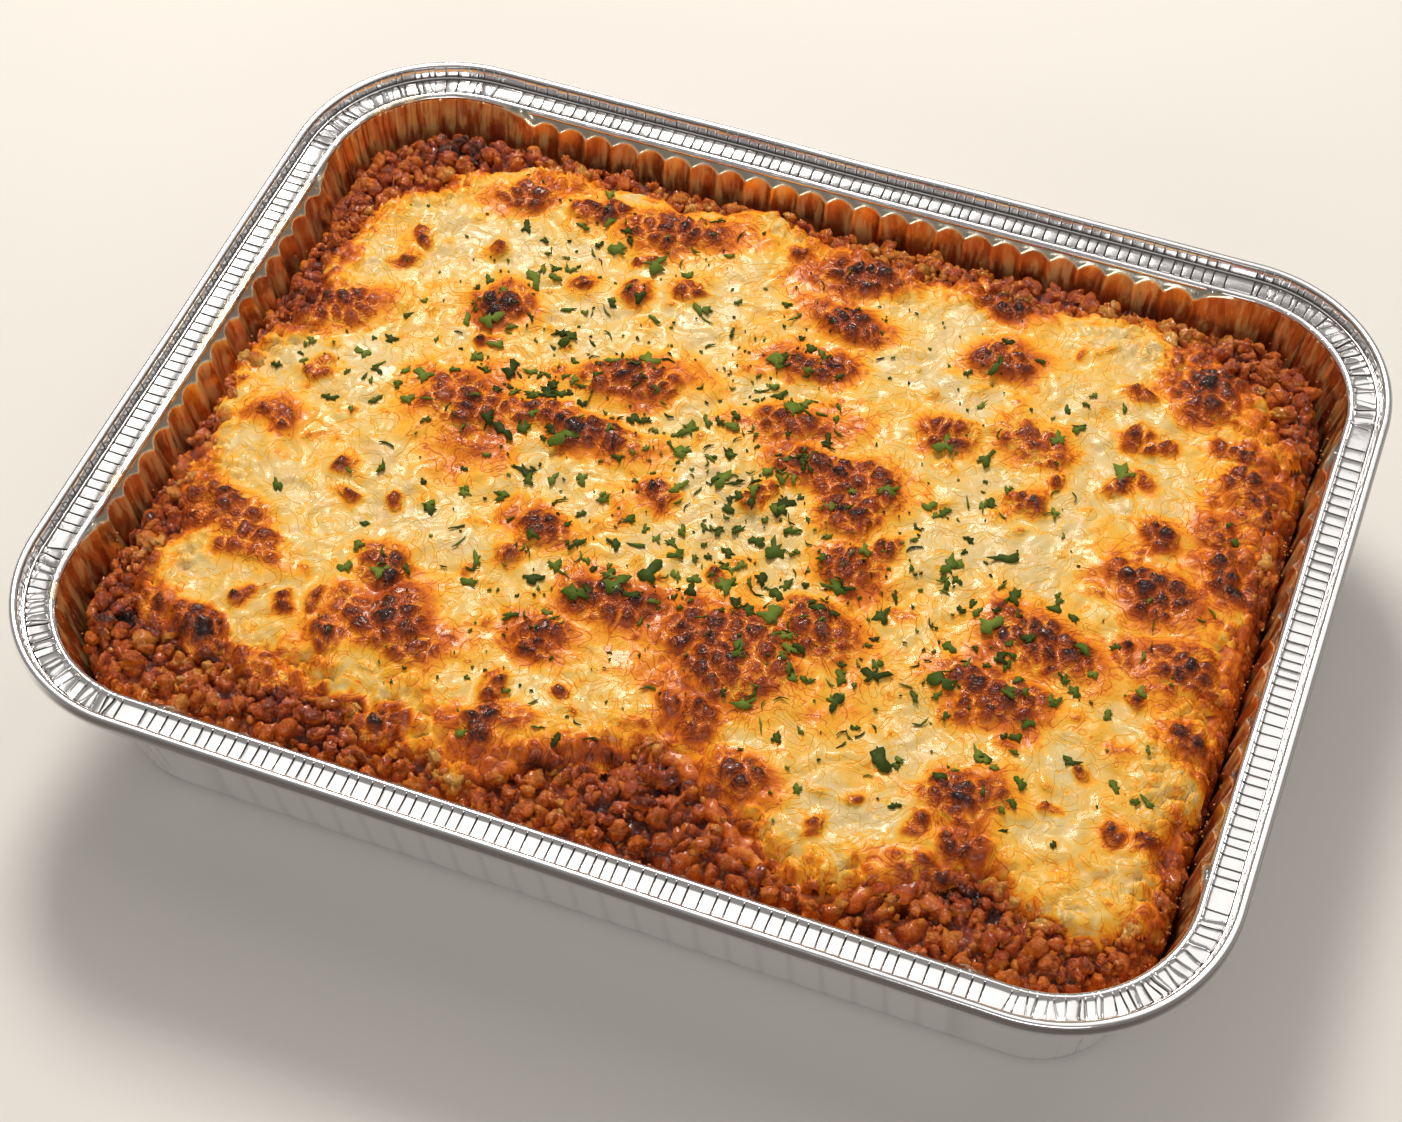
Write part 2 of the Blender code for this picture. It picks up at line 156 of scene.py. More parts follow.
def enclosed(points, faces):
    """Signed volume inside the faces, the sum of a . (b x c) / 6: positive when they point outwards."""
    total = 0.0
    for k in range(1, faces.shape[1] - 1):
        a, b, c = points[faces[:, 0]], points[faces[:, k]], points[faces[:, k + 1]]
        total += np.einsum("ij,ij->i", a, np.cross(b, c)).sum() / 6
    return total


def ring_skin(grid, poles=None):
    """Points and outward faces of rings joined row to row, closed at both ends by a fan to a pole.

    Without poles, the last ring joins the first instead, as round a rim.
    """
    rows, columns = grid.shape[:2]
    points = grid.reshape(-1, 3)
    if poles is None:
        sets = [grid_faces(rows + 1, columns, True) % (rows * columns)]
    else:
        points = np.concatenate([points, np.array(poles, float)])
        here = np.arange(columns)
        after = (here + 1) % columns
        low = np.stack([np.full(columns, rows * columns), after, here], -1)
        high = np.stack([np.full(columns, rows * columns + 1), here, after], -1)
        high[:, 1:] += (rows - 1) * columns
        sets = [grid_faces(rows, columns, True), low, high]
    if sum(enclosed(points, faces) for faces in sets) < 0:
        sets = [faces[:, ::-1] for faces in sets]
    return points, sets


def piece(name, node, points, face_sets, marks=None):
    """A new object from points in mm and sets of faces, with its marks stored on the points.

    It rides on the part's one body, and the CAD node that it stands for is hidden.
    """
    loops = np.concatenate([faces.ravel() for faces in face_sets]).astype(np.int32)
    counts = np.concatenate([np.full(len(faces), faces.shape[1]) for faces in face_sets])
    starts = (np.cumsum(counts) - counts).astype(np.int32)
    mesh = bpy.data.meshes.new(name)
    mesh.vertices.add(len(points))
    mesh.vertices.foreach_set("co", (points * MM).astype(np.float32).ravel())
    mesh.loops.add(len(loops))
    mesh.loops.foreach_set("vertex_index", loops)
    mesh.polygons.add(len(counts))
    mesh.polygons.foreach_set("loop_start", starts)
    mesh.update(calc_edges=True)
    mesh.validate()
    for mark, values in (marks or {}).items():
        layer = mesh.attributes.new(mark, "FLOAT", "POINT")
        layer.data.foreach_set("value", values.astype(np.float32).ravel())
    mesh.shade_smooth()
    thing = bpy.data.objects.new(name, mesh)
    bpy.context.scene.collection.objects.link(thing)
    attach(thing, "root")
    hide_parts(node)
    print(f"{name}: {len(points)} points, {int((counts - 2).sum())} triangles")
    return thing


# %% [markdown]
# ## Uneven shapes
# Food is uneven at every size. Two kinds of noise give that here. Waves are random heights on a lattice
# with smooth slopes between them. Pebbles are round cells: each point looks for the nearest of some
# scattered centres, which gives domes with creases between them, like crumbs or blisters.

# %% Noise in arrays


def smooth(low, high, value):
    """0 below low, 1 above high, and an S-shaped slope between them: t * t * (3 - 2 * t)."""
    share = np.clip((value - low) / (high - low), 0, 1)
    return share * share * (3 - 2 * share)


def chance(i, j, seed):
    """A fixed number from 0 to 1 for each pair of whole numbers: their bits multiplied and folded."""
    mixed = (i.astype(np.int64) * 374761393 + j.astype(np.int64) * 668265263 + seed * 144665) & 0xFFFFFFFF
    mixed = ((mixed ^ (mixed >> 13)) * 1274126177) & 0xFFFFFFFF
    return ((mixed ^ (mixed >> 16)) & 0xFFFFFF) / 0xFFFFFF


def waves(x, y, size, seed, layers=1):
    """Noise from about -1 to 1: lattice values blended by S-curves. Each layer is finer and weaker."""
    total, weight = 0.0, 1.0
    for layer in range(layers):
        u, v = x / size, y / size
        i, j = np.floor(u), np.floor(v)
        a, b = smooth(0, 1, u - i), smooth(0, 1, v - j)
        low = chance(i, j, seed + layer) * (1 - a) + chance(i + 1, j, seed + layer) * a
        high = chance(i, j + 1, seed + layer) * (1 - a) + chance(i + 1, j + 1, seed + layer) * a
        total = total + weight * (2 * (low * (1 - b) + high * b) - 1)
        size, weight = size * 0.5, weight * 0.55
    return total


def pebbles(x, y, size, seed):
    """Distance to the nearest scattered centre, to the second nearest, and the nearest one's number."""
    u, v = x / size, y / size
    i, j = np.floor(u), np.floor(v)
    first = np.full(np.shape(u), 9.0)
    second = np.full(np.shape(u), 9.0)
    owner = np.zeros(np.shape(u))
    for di in (-1, 0, 1):
        for dj in (-1, 0, 1):
            a, b = i + di, j + dj
            away = np.hypot(u - a - chance(a, b, seed), v - b - chance(a, b, seed + 31))
            nearer = away < first
            second = np.where(nearer, first, np.minimum(second, away))
            owner = np.where(nearer, chance(a, b, seed + 57), owner)
            first = np.where(nearer, away, first)
    return first, second, owner


def domes(x, y, size, seed):
    """Round bumps from 0 to 1 with creases between them, and a fixed number for each bump."""
    first, second, owner = pebbles(x, y, size, seed)
    return np.sqrt(np.clip(1 - (first / 0.85) ** 2, 0, 1)) * smooth(0, 0.35, second - first), owner


print("Waves of 9 mm at four places:", waves(np.arange(4) * 5.0, np.zeros(4), 9.0, 1).round(2))


# %% [markdown]
# ## The path round the tray
# The rim, the wall and the food's edge all follow one rounded rectangle. It is measured once, along the
# middle of the ledge. Any other line round the tray uses the same corner centres with another radius,
# so that points with the same measure always lie side by side.

# %% The rounded rectangle
TRAY_LENGTH, TRAY_WIDTH = 322.0, 249.0
CORNER_RADIUS, LEDGE_INSET = 46.0, 7.0
STRAIGHT_X = TRAY_LENGTH - 2 * CORNER_RADIUS
STRAIGHT_Y = TRAY_WIDTH - 2 * CORNER_RADIUS
ARC = (CORNER_RADIUS - LEDGE_INSET) * math.pi / 2
STRETCHES = np.array([ARC, STRAIGHT_X, ARC, STRAIGHT_Y, ARC, STRAIGHT_X, ARC, STRAIGHT_Y])
STRETCH_STARTS = np.cumsum(STRETCHES) - STRETCHES
PATH = STRETCHES.sum()


def on_stretch(along):
    """Which of the eight stretches a measure along the path falls on, and how far along that one."""
    along = np.mod(along, PATH)
    stretch = np.searchsorted(STRETCH_STARTS, along, side="right") - 1
    return stretch, along - STRETCH_STARTS[stretch]


def round_path(along, inset):
    """The point at a measure along the path and an inset from the outer edge, and the normal there.

    The point is the corner's centre + radius * normal, moved along the edge on a straight stretch.
    """
    stretch, local = on_stretch(along)
    quarter, straight = stretch // 2, stretch % 2 == 1
    angle = np.pi / 2 * (quarter + np.where(straight, 1, local / ARC))
    nx, ny = np.cos(angle), np.sin(angle)
    sign_x = np.array([1, -1, -1, 1])[quarter]
    sign_y = np.array([1, 1, -1, -1])[quarter]
    run = np.where(straight, local, 0)
    x = sign_x * STRAIGHT_X / 2 - ny * run + (CORNER_RADIUS - inset) * nx
    y = sign_y * STRAIGHT_Y / 2 + nx * run + (CORNER_RADIUS - inset) * ny
    return x, y, nx, ny


def corner_share(along, fade):
    """1 in the corners and 0 on the straights, with a slope of this length outside each corner."""
    stretch, local = on_stretch(along)
    to_corner = np.minimum(local, STRETCHES[stretch] - local)
    return np.where(stretch % 2 == 0, 1.0, 1 - smooth(0, fade, to_corner))


print("Path round the tray:", round(PATH, 1), "mm")

# %% [markdown]
# ## The crimped rim
# When foil is pressed into a tray, the ledge has to lose length at the corners, so the tool gathers it
# into small crimps. On the straights they are neat pads with thin grooves between them. In the corners
# they are narrow, slanted pleats. Beyond the ledge, the edge turns up and rolls into a stiff bead.
# The rim is a section carried along the path. Its columns are not evenly spaced: each crimp has
# eight, seven of them close to a groove, which keeps the grooves crisp and the pads flat with few faces.
# Each pad gets its own dome, tilt and slant, and each groove its own depth and its own strength of painted
# shade, a dark line put into the foil's colour.

# %% Crimps
rng = np.random.default_rng(11)


def crimp_widths(length, pitch, uneven, end_pads):
    """Uneven widths that fill a stretch. The pads at its ends are wider by the given factor."""
    widths = 1 + uneven * rng.uniform(-1, 1, round(length / pitch))
    widths[[0, -1]] *= end_pads
    return widths * length / widths.sum()


pads = []
for k, length in enumerate(STRETCHES):
    in_corner = k % 2 == 0
    pads.append(crimp_widths(length, 2.25, 0.45, 1) if in_corner else crimp_widths(length, 3.25, 0.2, 2.2))
pad_corner = np.concatenate([np.full(len(widths), k % 2 == 0) for k, widths in enumerate(pads)])
pad_width = np.concatenate(pads)
pad_start = np.cumsum(pad_width) - pad_width
pad_count = len(pad_width)

# Where each pad's eight columns stand, as shares of its width, how deep the groove is there, and how much
# painted shade it gets
NEAR_GROOVE = np.array([0, 0.1, 0.2, 0.32])
close = NEAR_GROOVE / pad_width[:, None]
cut = np.concatenate([close, np.full((pad_count, 1), 0.5), 1 - close[:, :0:-1]], axis=1)
groove = np.tile([1, 0.6, 0, 0, 0, 0, 0, 0.6], pad_count)
seam = np.tile([1, 1, 0.7, 0, 0, 0, 0.7, 1], pad_count)


def per_pad(straight_range, corner_range):
    """A random number for each pad, from one range on the straights and another in the corners."""
    chosen = rng.uniform(0, 1, pad_count)
    low = np.where(pad_corner, corner_range[0], straight_range[0])
    high = np.where(pad_corner, corner_range[1], straight_range[1])
    return (low + (high - low) * chosen)[:, None] + 0 * cut


def to_next(values):
    """Values that run evenly from each pad's own to the next's, so that a groove's two sides agree."""
    return (values * (1 - cut) + np.roll(values, -1, 0) * cut).ravel()


groove_depth = to_next(per_pad((0.2, 0.35), (0.3, 0.8)))
pad_dome = per_pad((0.06, 0.15), (-0.1, 0.45))
pad_tilt = per_pad((-0.05, 0.05), (-0.22, 0.22))
pad_bulge = (pad_dome * (1 - (2 * cut - 1) ** 2) + pad_tilt * (2 * cut - 1)).ravel()
pad_slant = to_next(per_pad((-0.12, 0.12), (-1.0, 1.0)))
pad_wedge = per_pad((-0.2, 0.2), (-0.8, 0.8)).ravel()
rib = per_pad((0.05, 0.25), (0.1, 0.35)).ravel()
seam = seam * per_pad((0.75, 1.0), (0.2, 0.9)).ravel()
rim_along = (pad_start[:, None] + pad_width[:, None] * cut).ravel()
print("Crimps:", pad_count, "of", round(pad_width.min(), 1), "to", round(pad_width.max(), 1), "mm")

# %% [markdown]
# ## The rim's section
# Each row of the table is one line round the rim: its inset from the outer edge, its height, its share
# of the crimps and of the ribs on the upturned edge, and its painted shade where the foil folds sharply or
# turns away from the light.

# %% Rim section
RIM_SECTION = np.array(
    [
        (11.6, 58.3, 0, 0, 0), (11.3, 58.9, 0, 0, 0), (10.95, 59.2, 0.05, 0, 0),
        (10.5, 59.4, 0.1, 0, 0), (10.1, 59.5, 0.1, 0, 0), (9.75, 59.3, 0.3, 0, 0.2),
        (9.45, 58.95, 0.8, 0, 0.1), (8.4, 58.8, 1.0, 0, 0), (7.0, 58.8, 1.0, 0, 0),
        (5.6, 58.8, 1.0, 0, 0), (4.4, 58.8, 0.9, 0, 0), (4.1, 58.8, 0.4, 0, 0.7),
        (3.8, 58.95, 0, 0, 0.7), (3.6, 59.3, 0, 0, 0), (3.35, 59.35, 0, 0, 0),
        (3.15, 59.1, 0, 0, 0.7), (2.9, 59.4, 0, 0.8, 0.7), (2.75, 60.6, 0, 1.0, 0.1),
        (2.6, 61.8, 0, 0.6, 0.2), (2.45, 62.35, 0, 0.1, 0.65), (2.25, 62.68, 0, 0, 0.1),
        (1.6, 62.94, 0, 0, 0), (1.0, 63.0, 0, 0, 0), (0.55, 62.8, 0, 0, 0.3),
        (0.2, 62.1, 0, 0, 0.72), (0.0, 60.8, 0, 0, 0.6), (0.1, 59.2, 0, 0, 0.2),
        (0.5, 58.1, 0, 0, 0), (1.4, 57.8, 0, 0, 0), (2.6, 58.1, 0, 0, 0),
        (4.2, 58.35, 0.5, 0, 0), (9.4, 58.35, 0.5, 0, 0), (11.3, 58.1, 0, 0, 0),
    ]
)


# The middle of the crimped ledge and half its width, as insets
CRIMP_MIDDLE, CRIMP_REACH = 6.5, 3.0


def rim_points():
    """Points of every line, and the painted shade of each: the larger of the groove's and the line's own.

    Height is the line's + crimp share * (pad's bulge - groove's depth), with a slow wobble on top. The
    rolled edge's painted shade holds only where it faces right and front, away from the key lamp.
    """
    inset, height, crimp, ribbing, line_shade = (RIM_SECTION[:, k][:, None] for k in range(5))
    reach = (inset - CRIMP_MIDDLE) / CRIMP_REACH
    depth = groove * groove_depth * (1 + pad_wedge * reach)
    ridge = rib * (1 - 2 * groove)
    x, y, nx, ny = round_path(rim_along + pad_slant * reach * crimp, inset + ridge * ribbing)
    z = height + crimp * (pad_bulge - depth) - 0.5 * ribbing * rib * groove
    wobble = 0.25 * waves(x, y, 40.0, 3)
    shaded = np.where((inset < 1.2) & (height > 59.5), smooth(-0.2, 0.5, 0.8 * nx - 0.6 * ny), 1)
    # Painted shade: the grooves' dark lines and each rim line's own painted darkness, kept as a mark for
    # the foil's colour.
    dark = np.maximum(np.clip(1.2 * crimp + 0.8 * ribbing, 0, 1) * seam, line_shade * shaded)
    return lifted(x, y, z + wobble * smooth(11.7, 8, inset)), dark


rim_grid, rim_seam_shade = rim_points()
rim_flat, rim_faces = ring_skin(rim_grid)
rim_x, rim_y, _ = rim_flat.T
smear = smooth(0.1, 0.6, waves(rim_x, rim_y, 9.0, 21, 2)) * smooth(-120, -140, rim_x)
smear *= smooth(9.0, 10.5, np.repeat(RIM_SECTION[:, 0], len(rim_along)))
# The seam mark is painted shade: dark lines in the grooves and on the rolled edge, put into the foil's
# colour.
rim_marks = {"stain": smear * 0.8, "seam": rim_seam_shade.ravel()}
foil_rim = piece("foil_rim", "foil_tray", rim_flat, rim_faces, rim_marks)

# %% [markdown]
# ## The fluted pan
# Flutes stiffen the thin wall. Each is a shallow channel with an arched top, just under the opening.
# Near the corners the wall is left plain, and in them it gathers into fine upright pleats.
# The pan is one closed sheet: down the inside, over the floor, and up the outside.

# %% Pan
FLUTE_PITCH, FLUTE_DEPTH, FLUTE_MARGIN = 8.3, 1.5, 15.0
WALL_TOP_Z, WALL_FOOT_Z = 57.2, 3.0
WALL_TOP_INSET, WALL_FOOT_INSET = 13.4, 22.0
OPENING_INSET, OPENING_Z, FLOOR_INSET = 11.0, 59.2, 24.4
FOIL = 0.35

pan_columns = [round(length / (0.33 if k % 2 == 0 else 0.72)) for k, length in enumerate(STRETCHES)]
pan_stretches = zip(STRETCH_STARTS, STRETCHES, pan_columns)
pan_along = np.concatenate([start + length * np.arange(n) / n for start, length, n in pan_stretches])


def wall_inset(along, z):
    """The wall leans out evenly from the foot's inset to the top's, and a little more in the corners."""
    share = (z - WALL_FOOT_Z) / (WALL_TOP_Z - WALL_FOOT_Z)
    top = WALL_TOP_INSET - 1.9 * corner_share(along, FLUTE_MARGIN)
    return WALL_FOOT_INSET + (top - WALL_FOOT_INSET) * share + 0.9 * smooth(5, 1, z)


def flutes(along, z):
    """Channels 1 - |across|^2.2 between sharp ridges, and the height of their arches' tops.

    An arch's top is 57.3 - 1.4 * |across|^2.2. Beyond the fluted field it rises to the plain wall's 58.3.
    """
    stretch, local = on_stretch(along)
    length = STRETCHES[stretch]
    field = length - 2 * FLUTE_MARGIN
    count = np.round(field / FLUTE_PITCH)
    across = np.abs(2 * np.mod((local - FLUTE_MARGIN) / field * count, 1) - 1)
    inside = (stretch % 2 == 1) & (local > FLUTE_MARGIN) & (local < length - FLUTE_MARGIN)
    channel = (1 - across**2.2) * (0.45 + 0.55 * z / WALL_TOP_Z)
    beyond = np.maximum(FLUTE_MARGIN - local, local - length + FLUTE_MARGIN)
    beyond = np.where(stretch % 2 == 1, beyond, FLUTE_MARGIN)
    plain = 58.3 - 2.4 * np.exp(-((np.maximum(beyond, 0) / 2.4) ** 2))
    return np.where(inside, channel, 0), np.where(inside, 57.3 - 1.4 * across**2.2, plain)


def pleats(along, z):
    """Upright folds in the corners, and creases that fan out beside them: each is a part less |waves|."""
    corner = corner_share(along, 5.0)
    fold = np.abs(waves(along + 0.08 * z, z * 0.04, 2.1, 5, 2))
    fan = np.abs(waves(along * 0.7 + (57 - z) * 0.35, z * 0.1, 3.4, 9, 2))
    panel = corner_share(along, 22.0) * (1 - corner)
    return 0.8 * corner * (0.5 - fold) + 0.45 * panel * (0.4 - fan)


INNER_Z = np.concatenate([[3, 7, 14, 24, 33, 40, 44, 47, 49.5, 51], np.arange(52, 59.3, 0.45)])
OUTER_Z = (58.2, 56.5, 54, 50, 44, 37, 29, 21, 14, 8, 4, 1.6)


def wall_ring(z, fluting, pleating):
    """One ring of the wall: the leaning wall less its dents, which opens to the rim above the arches.

    The opening's share is ((z - arch) / (opening's height - arch))^0.6. The last result is how far below
    the arch z is.
    """
    channel, arch = flutes(pan_along, z)
    dent = (fluting * channel + pleating * pleats(pan_along, z)) * smooth(2, 12, z)
    opening = np.clip((z - arch) / (OPENING_Z - arch), 0, 1) ** 0.6
    inset = (wall_inset(pan_along, z) - dent) * (1 - opening) + OPENING_INSET * opening
    return inset, channel, arch - z


def pan_rings():
    """Rings from the floor's edge up the inner wall, and down the outer wall, with stain and painted-shade
    marks.
    """
    rings, stains, seam_shades = [], [], []

    def add(inset, z, stain, seam):
        """One ring with its marks, each one number for the whole ring or one for each point."""
        x, y, _, _ = round_path(pan_along, inset)
        rings.append(lifted(x, y, z))
        stains.append(np.zeros_like(x) + stain)
        seam_shades.append(np.zeros_like(x) + seam)

    add(FLOOR_INSET, FOIL, 1, 0)
    for z in INNER_Z:
        inset, _, below = wall_ring(z, FLUTE_DEPTH, 1.0)
        # The stain runs from 0.2 above each arch to 1 below it. Where it passes 0.35 to 0.5, at the arch's
        # edge, the foil's finish paints a highlight.
        add(inset, z, 0.2 * smooth(59.3, 58.8, z) + 0.8 * smooth(-0.8, 1.0, below), 0)
    for z in OUTER_Z:
        inset, channel, _ = wall_ring(z, 0.85 * FLUTE_DEPTH, 0.6)
        # Painted shade: the outer wall is darker in soft upright bands on the ridges between the flutes.
        ridges = smooth(0.8, 0, channel) * (1 - corner_share(pan_along, FLUTE_MARGIN))
        add(inset - FOIL, z, 0, 0.26 * ridges)
    add(FLOOR_INSET - 0.4, 0, 0, 0)
    return np.array(rings), np.array(stains), np.array(seam_shades)


pan_grid, pan_stain, pan_seam_shade = pan_rings()
pan_points, pan_faces = ring_skin(pan_grid, [(0, 0, FOIL), (0, 0, 0)])
# The two poles close the floor: the upper one carries the film, and the lower one is bare
pan_marks = {"stain": np.append(pan_stain, [1.0, 0.0]), "seam": np.append(pan_seam_shade, [0.0, 0.0])}
foil_pan = piece("foil_pan", "foil_tray", pan_points, pan_faces, pan_marks)

# %% [markdown]
# ## Where things lie on the food
# A baked surface has a logic: sauce boils up along the wall, cheese lies thick in the middle and thin
# at its edge, and it browns where lumps stand up. So each point of the food first gets its distance in
# from the sauce's outer edge. The widths of the bare border and of the pasta's lip are swells round
# a few named places, the same as in the solids, and the cheese begins where they end.

# %% Borders
CORE_X, CORE_Y = TRAY_LENGTH / 2 - 76, TRAY_WIDTH / 2 - 76
SAUCE_EDGE_INSET = 16.0
SAUCE_WALL_Z, SAUCE_CREST_Z = 46.5, 49.6
CHEESE_Z, SHOULDER = 53.6, 9.0
CRUMB, CRUMB_SEED = 5.4, 91
NODULE, NODULE_SEED = 5.2, 81

# Places where the border of bare sauce is wider (or, below 0, narrower): x, y, half width, extra
BAYS = (
    (-138, 98, 24, 15), (28, 108, 26, 3), (125, 98, 26, 13), (-22, 108, 13, -6),
    (-145, 34, 16, 3), (-145, -48, 13, 6), (-125, -100, 26, 15), (-72, -108, 26, 8),
    (14, -108, 23, 22), (58, -108, 14, -5), (112, -104, 30, 17),
)

# Places where the cheese runs further out over the border: x, y, half width, extra
REACHES = (
    (-142, -8, 24, 6.0), (-144, -56, 14, 6.0), (40, 103, 20, 4.5), (94, 99, 17, 5.5),
    (139, 64, 16, 5.0), (140, 15, 24, 5.0), (140, -28, 22, 6.0), (138, -72, 24, 9.0),
    (-46, -101, 13, 4.0),
)

# Places where the pasta's lip shows: x, y, half width, share
LIPS = (
    (146, 35, 34, 1.0), (146, -25, 34, 1.0), (30, -104, 24, 1.2), (78, -106, 16, 1.0),
)


def swell(x, y, places):
    """The sum of smooth swells exp(-(distance / half width)^2) round the places."""
    return sum(most * np.exp(-((x - px) ** 2 + (y - py) ** 2) / half**2) for px, py, half, most in places)


def from_edge(x, y):
    """Distance in from the sauce's outer edge, and the point of that edge, along the ray from the core.

    The core is a small rectangle. From its nearest point, a ray through x, y leaves the sauce through a
    straight side or through a corner's arc, and the arc's crossing is a quadratic's larger root.
    """
    cx, cy = np.clip(x, -CORE_X, CORE_X), np.clip(y, -CORE_Y, CORE_Y)
    dx, dy = np.abs(x - cx), np.abs(y - cy)
    reach = np.maximum(np.hypot(dx, dy), 1e-6)
    ux, uy = dx / reach, dy / reach
    radius = CORNER_RADIUS - SAUCE_EDGE_INSET
    ax, ay = np.abs(cx), np.abs(cy)
    to_side = np.where(ux > 1e-6, (STRAIGHT_X / 2 + radius - ax) / np.maximum(ux, 1e-6), 1e6)
    to_end = np.where(uy > 1e-6, (STRAIGHT_Y / 2 + radius - ay) / np.maximum(uy, 1e-6), 1e6)
    wx, wy = STRAIGHT_X / 2 - ax, STRAIGHT_Y / 2 - ay
    along = wx * ux + wy * uy
    to_arc = along + np.sqrt(np.maximum(along**2 - wx**2 - wy**2 + radius**2, 0))
    full = np.minimum(to_side, to_end)
    in_arc = (ax + full * ux > STRAIGHT_X / 2) & (ay + full * uy > STRAIGHT_Y / 2)
    full = np.where(in_arc, to_arc, full)
    full = np.where(reach < 1e-5, 60.0, full)
    edge_x = cx + np.where(x < cx, -1, 1) * ux * full
    edge_y = cy + np.where(y < cy, -1, 1) * uy * full
    return full - reach, edge_x, edge_y


def border_width(x, y):
    """How far in the bare sauce reaches, at a point of its edge."""
    return 7.5 + 1.2 * np.sin(x * 0.19 + 1.0) * np.cos(y * 0.15) + swell(x, y, BAYS)


def cheese_start(x, y):
    """How far in the cheese begins, at a point of the sauce's edge."""
    return border_width(x, y) + 2.0 - swell(x, y, REACHES)


def into_cheese(x, y):
    """Distance in from the cheese's ragged edge. It is below 0 on the bare border."""
    inward, edge_x, edge_y = from_edge(x, y)
    ragged = 3.2 * waves(x, y, 14.0, 41, 2) + 1.5 * waves(x, y, 4.4, 43, 2)
    depth = inward - border_width(edge_x, edge_y) - 2.0 + swell(x, y, REACHES) + ragged
    return np.minimum(depth, 1.6 * (inward - 2.5) + 0.5 * ragged)


def sauce_level(x, y):
    """The sauce's smooth level, which rises from the wall to its crest as a quarter sine."""
    inward, edge_x, edge_y = from_edge(x, y)
    share = inward / border_width(edge_x, edge_y)
    level = SAUCE_WALL_Z + (SAUCE_CREST_Z - SAUCE_WALL_Z) * np.sin(np.pi / 2 * np.clip(share * 1.6, 0, 1))
    return level, inward, share


def crumb_relief(x, y):
    """Crumbs of two sizes on slow waves, in mm, and how near to a large crumb's top each point is."""
    bent_x, bent_y = x + 1.8 * waves(x, y, 8.0, 96), y + 1.8 * waves(x, y, 8.0, 98)
    coarse, _ = domes(bent_x, bent_y, CRUMB, CRUMB_SEED)
    fine, _ = domes(bent_x, bent_y, 2.7, 93)
    return 3.0 * (coarse - 0.45) + 1.0 * (fine - 0.5) + 0.9 * waves(x, y, 15.0, 95), coarse


def nodule_relief(x, y):
    """Round nodules of two sizes with uneven outlines, from 0 to 1, and a fixed number for each."""
    bent_x, bent_y = x + 1.2 * waves(x, y, 4.5, 86), y + 1.2 * waves(x, y, 4.5, 88)
    large, owner = domes(bent_x, bent_y, NODULE, NODULE_SEED)
    small, _ = domes(bent_x, bent_y, 2.4, 83)
    return 0.78 * large + 0.3 * small - 0.05, owner


print("Border places:", len(BAYS), "bays,", len(REACHES), "reaches and", len(LIPS), "lips")


# %% [markdown]
# ## The browned mounds
# Each browned patch is an oval dome with a ragged outline, set by where it lies, how long and wide it
# is, which way it turns, how high it stands and how dark it baked. The strongest patch at a point wins.
# The patches were placed one by one from the photograph, in millimetres on the tray.

# %% Browned patches
# x, y, half length, half width, turn in degrees, height, darkness
PATCHES = (
    (-80, 45, 8, 7, 0, 3.0, 0.9), (-126, 27, 15, 9, 20, 3.0, 0.7), (-76, 6, 16, 13, -30, 4.0, 0.8),
    (-41, 9, 18, 6, -5, 3.6, 0.95), (-36, 30, 16, 8, 15, 3.4, 0.75), (-68, 87, 9, 5, 10, 2.6, 0.7),
    (-44, 88, 17, 9, 10, 3.2, 0.85), (-91, 85, 10, 6, 30, 2.4, 0.75), (12, 90, 18, 8, 25, 3.4, 0.8),
    (12, 70, 14, 6, -10, 3.0, 0.6), (8, 53, 14, 6, 15, 2.4, 0.5), (57, 72, 10, 7, 20, 2.8, 0.7),
    (72, 48, 11, 8, -20, 3.0, 0.7), (51, 42, 9, 6, 0, 2.6, 0.6), (9, 31, 14, 8, 10, 2.8, 0.7),
    (25, 18, 19, 7, -5, 3.4, 0.85), (37, 17, 9, 8, 0, 3.8, 0.9), (35, 8, 8, 7, 0, 3.6, 1.0),
    (-60, 9, 9, 5, 0, 3.0, 0.8), (-77, -75, 6, 7, 0, 3.0, 0.8), (-87, -92, 13, 5, -5, 2.6, 0.8),
    (-66, -94, 6, 5, 0, 2.6, 0.8), (-55, -95, 6, 5, 0, 2.8, 0.95), (-111, -86, 8, 5, -10, 2.6, 0.8),
    (-133, -86, 14, 8, 0, 3.0, 1.0), (-110, -57, 12, 5, -10, 2.2, 0.55), (36, -81, 9, 6, -30, 2.6, 0.6),
    (138, -33, 8, 6, -30, 2.8, 0.85), (127, 35, 8, 5, -20, 2.6, 0.7), (124, 62, 7, 4, -10, 2.6, 0.85),
    (-138, 45, 9, 8, 50, 2.6, 0.8), (8, -92, 22, 8, -15, 3.0, 0.1), (95, -92, 20, 6, -8, 2.4, 0.85),
    (-118, 100, 18, 6, 5, 2.6, 1.0), (36, 100, 9, 5, 0, 2.4, 0.8), (41, -9, 11, 10, 40, 3.2, 0.8),
    (20, -47, 20, 14, -20, 4.6, 0.95), (39, -33, 14, 8, -10, 3.2, 0.7), (-15, -42, 15, 8, 15, 2.8, 0.7),
    (-28, -57, 9, 6, 0, 2.2, 0.65), (-64, -68, 17, 11, -15, 3.6, 0.8), (-74, -51, 9, 5, 10, 2.2, 0.7),
    (-124, -48, 15, 8, -15, 3.2, 0.85), (-124, -13, 7, 6, 0, 2.8, 0.9), (-42, -25, 9, 7, -20, 2.6, 0.75),
    (95, -16, 16, 9, -20, 3.8, 0.95), (86, -34, 15, 9, -15, 3.6, 0.8), (89, -67, 12, 7, 15, 3.2, 0.9),
    (113, 28, 7, 6, 0, 3.0, 0.9), (115, 11, 15, 8, -30, 3.2, 0.85), (132, 22, 8, 8, 0, 2.6, 0.8),
    (131, 51, 10, 9, -30, 3.0, 0.75), (130, -12, 11, 10, 0, 3.4, 0.75), (112, 82, 12, 10, -30, 4.0, 1.15),
    (53, 93, 9, 5, 0, 2.6, 0.75), (-30, -87, 10, 8, 0, 3.4, 0.95),
)

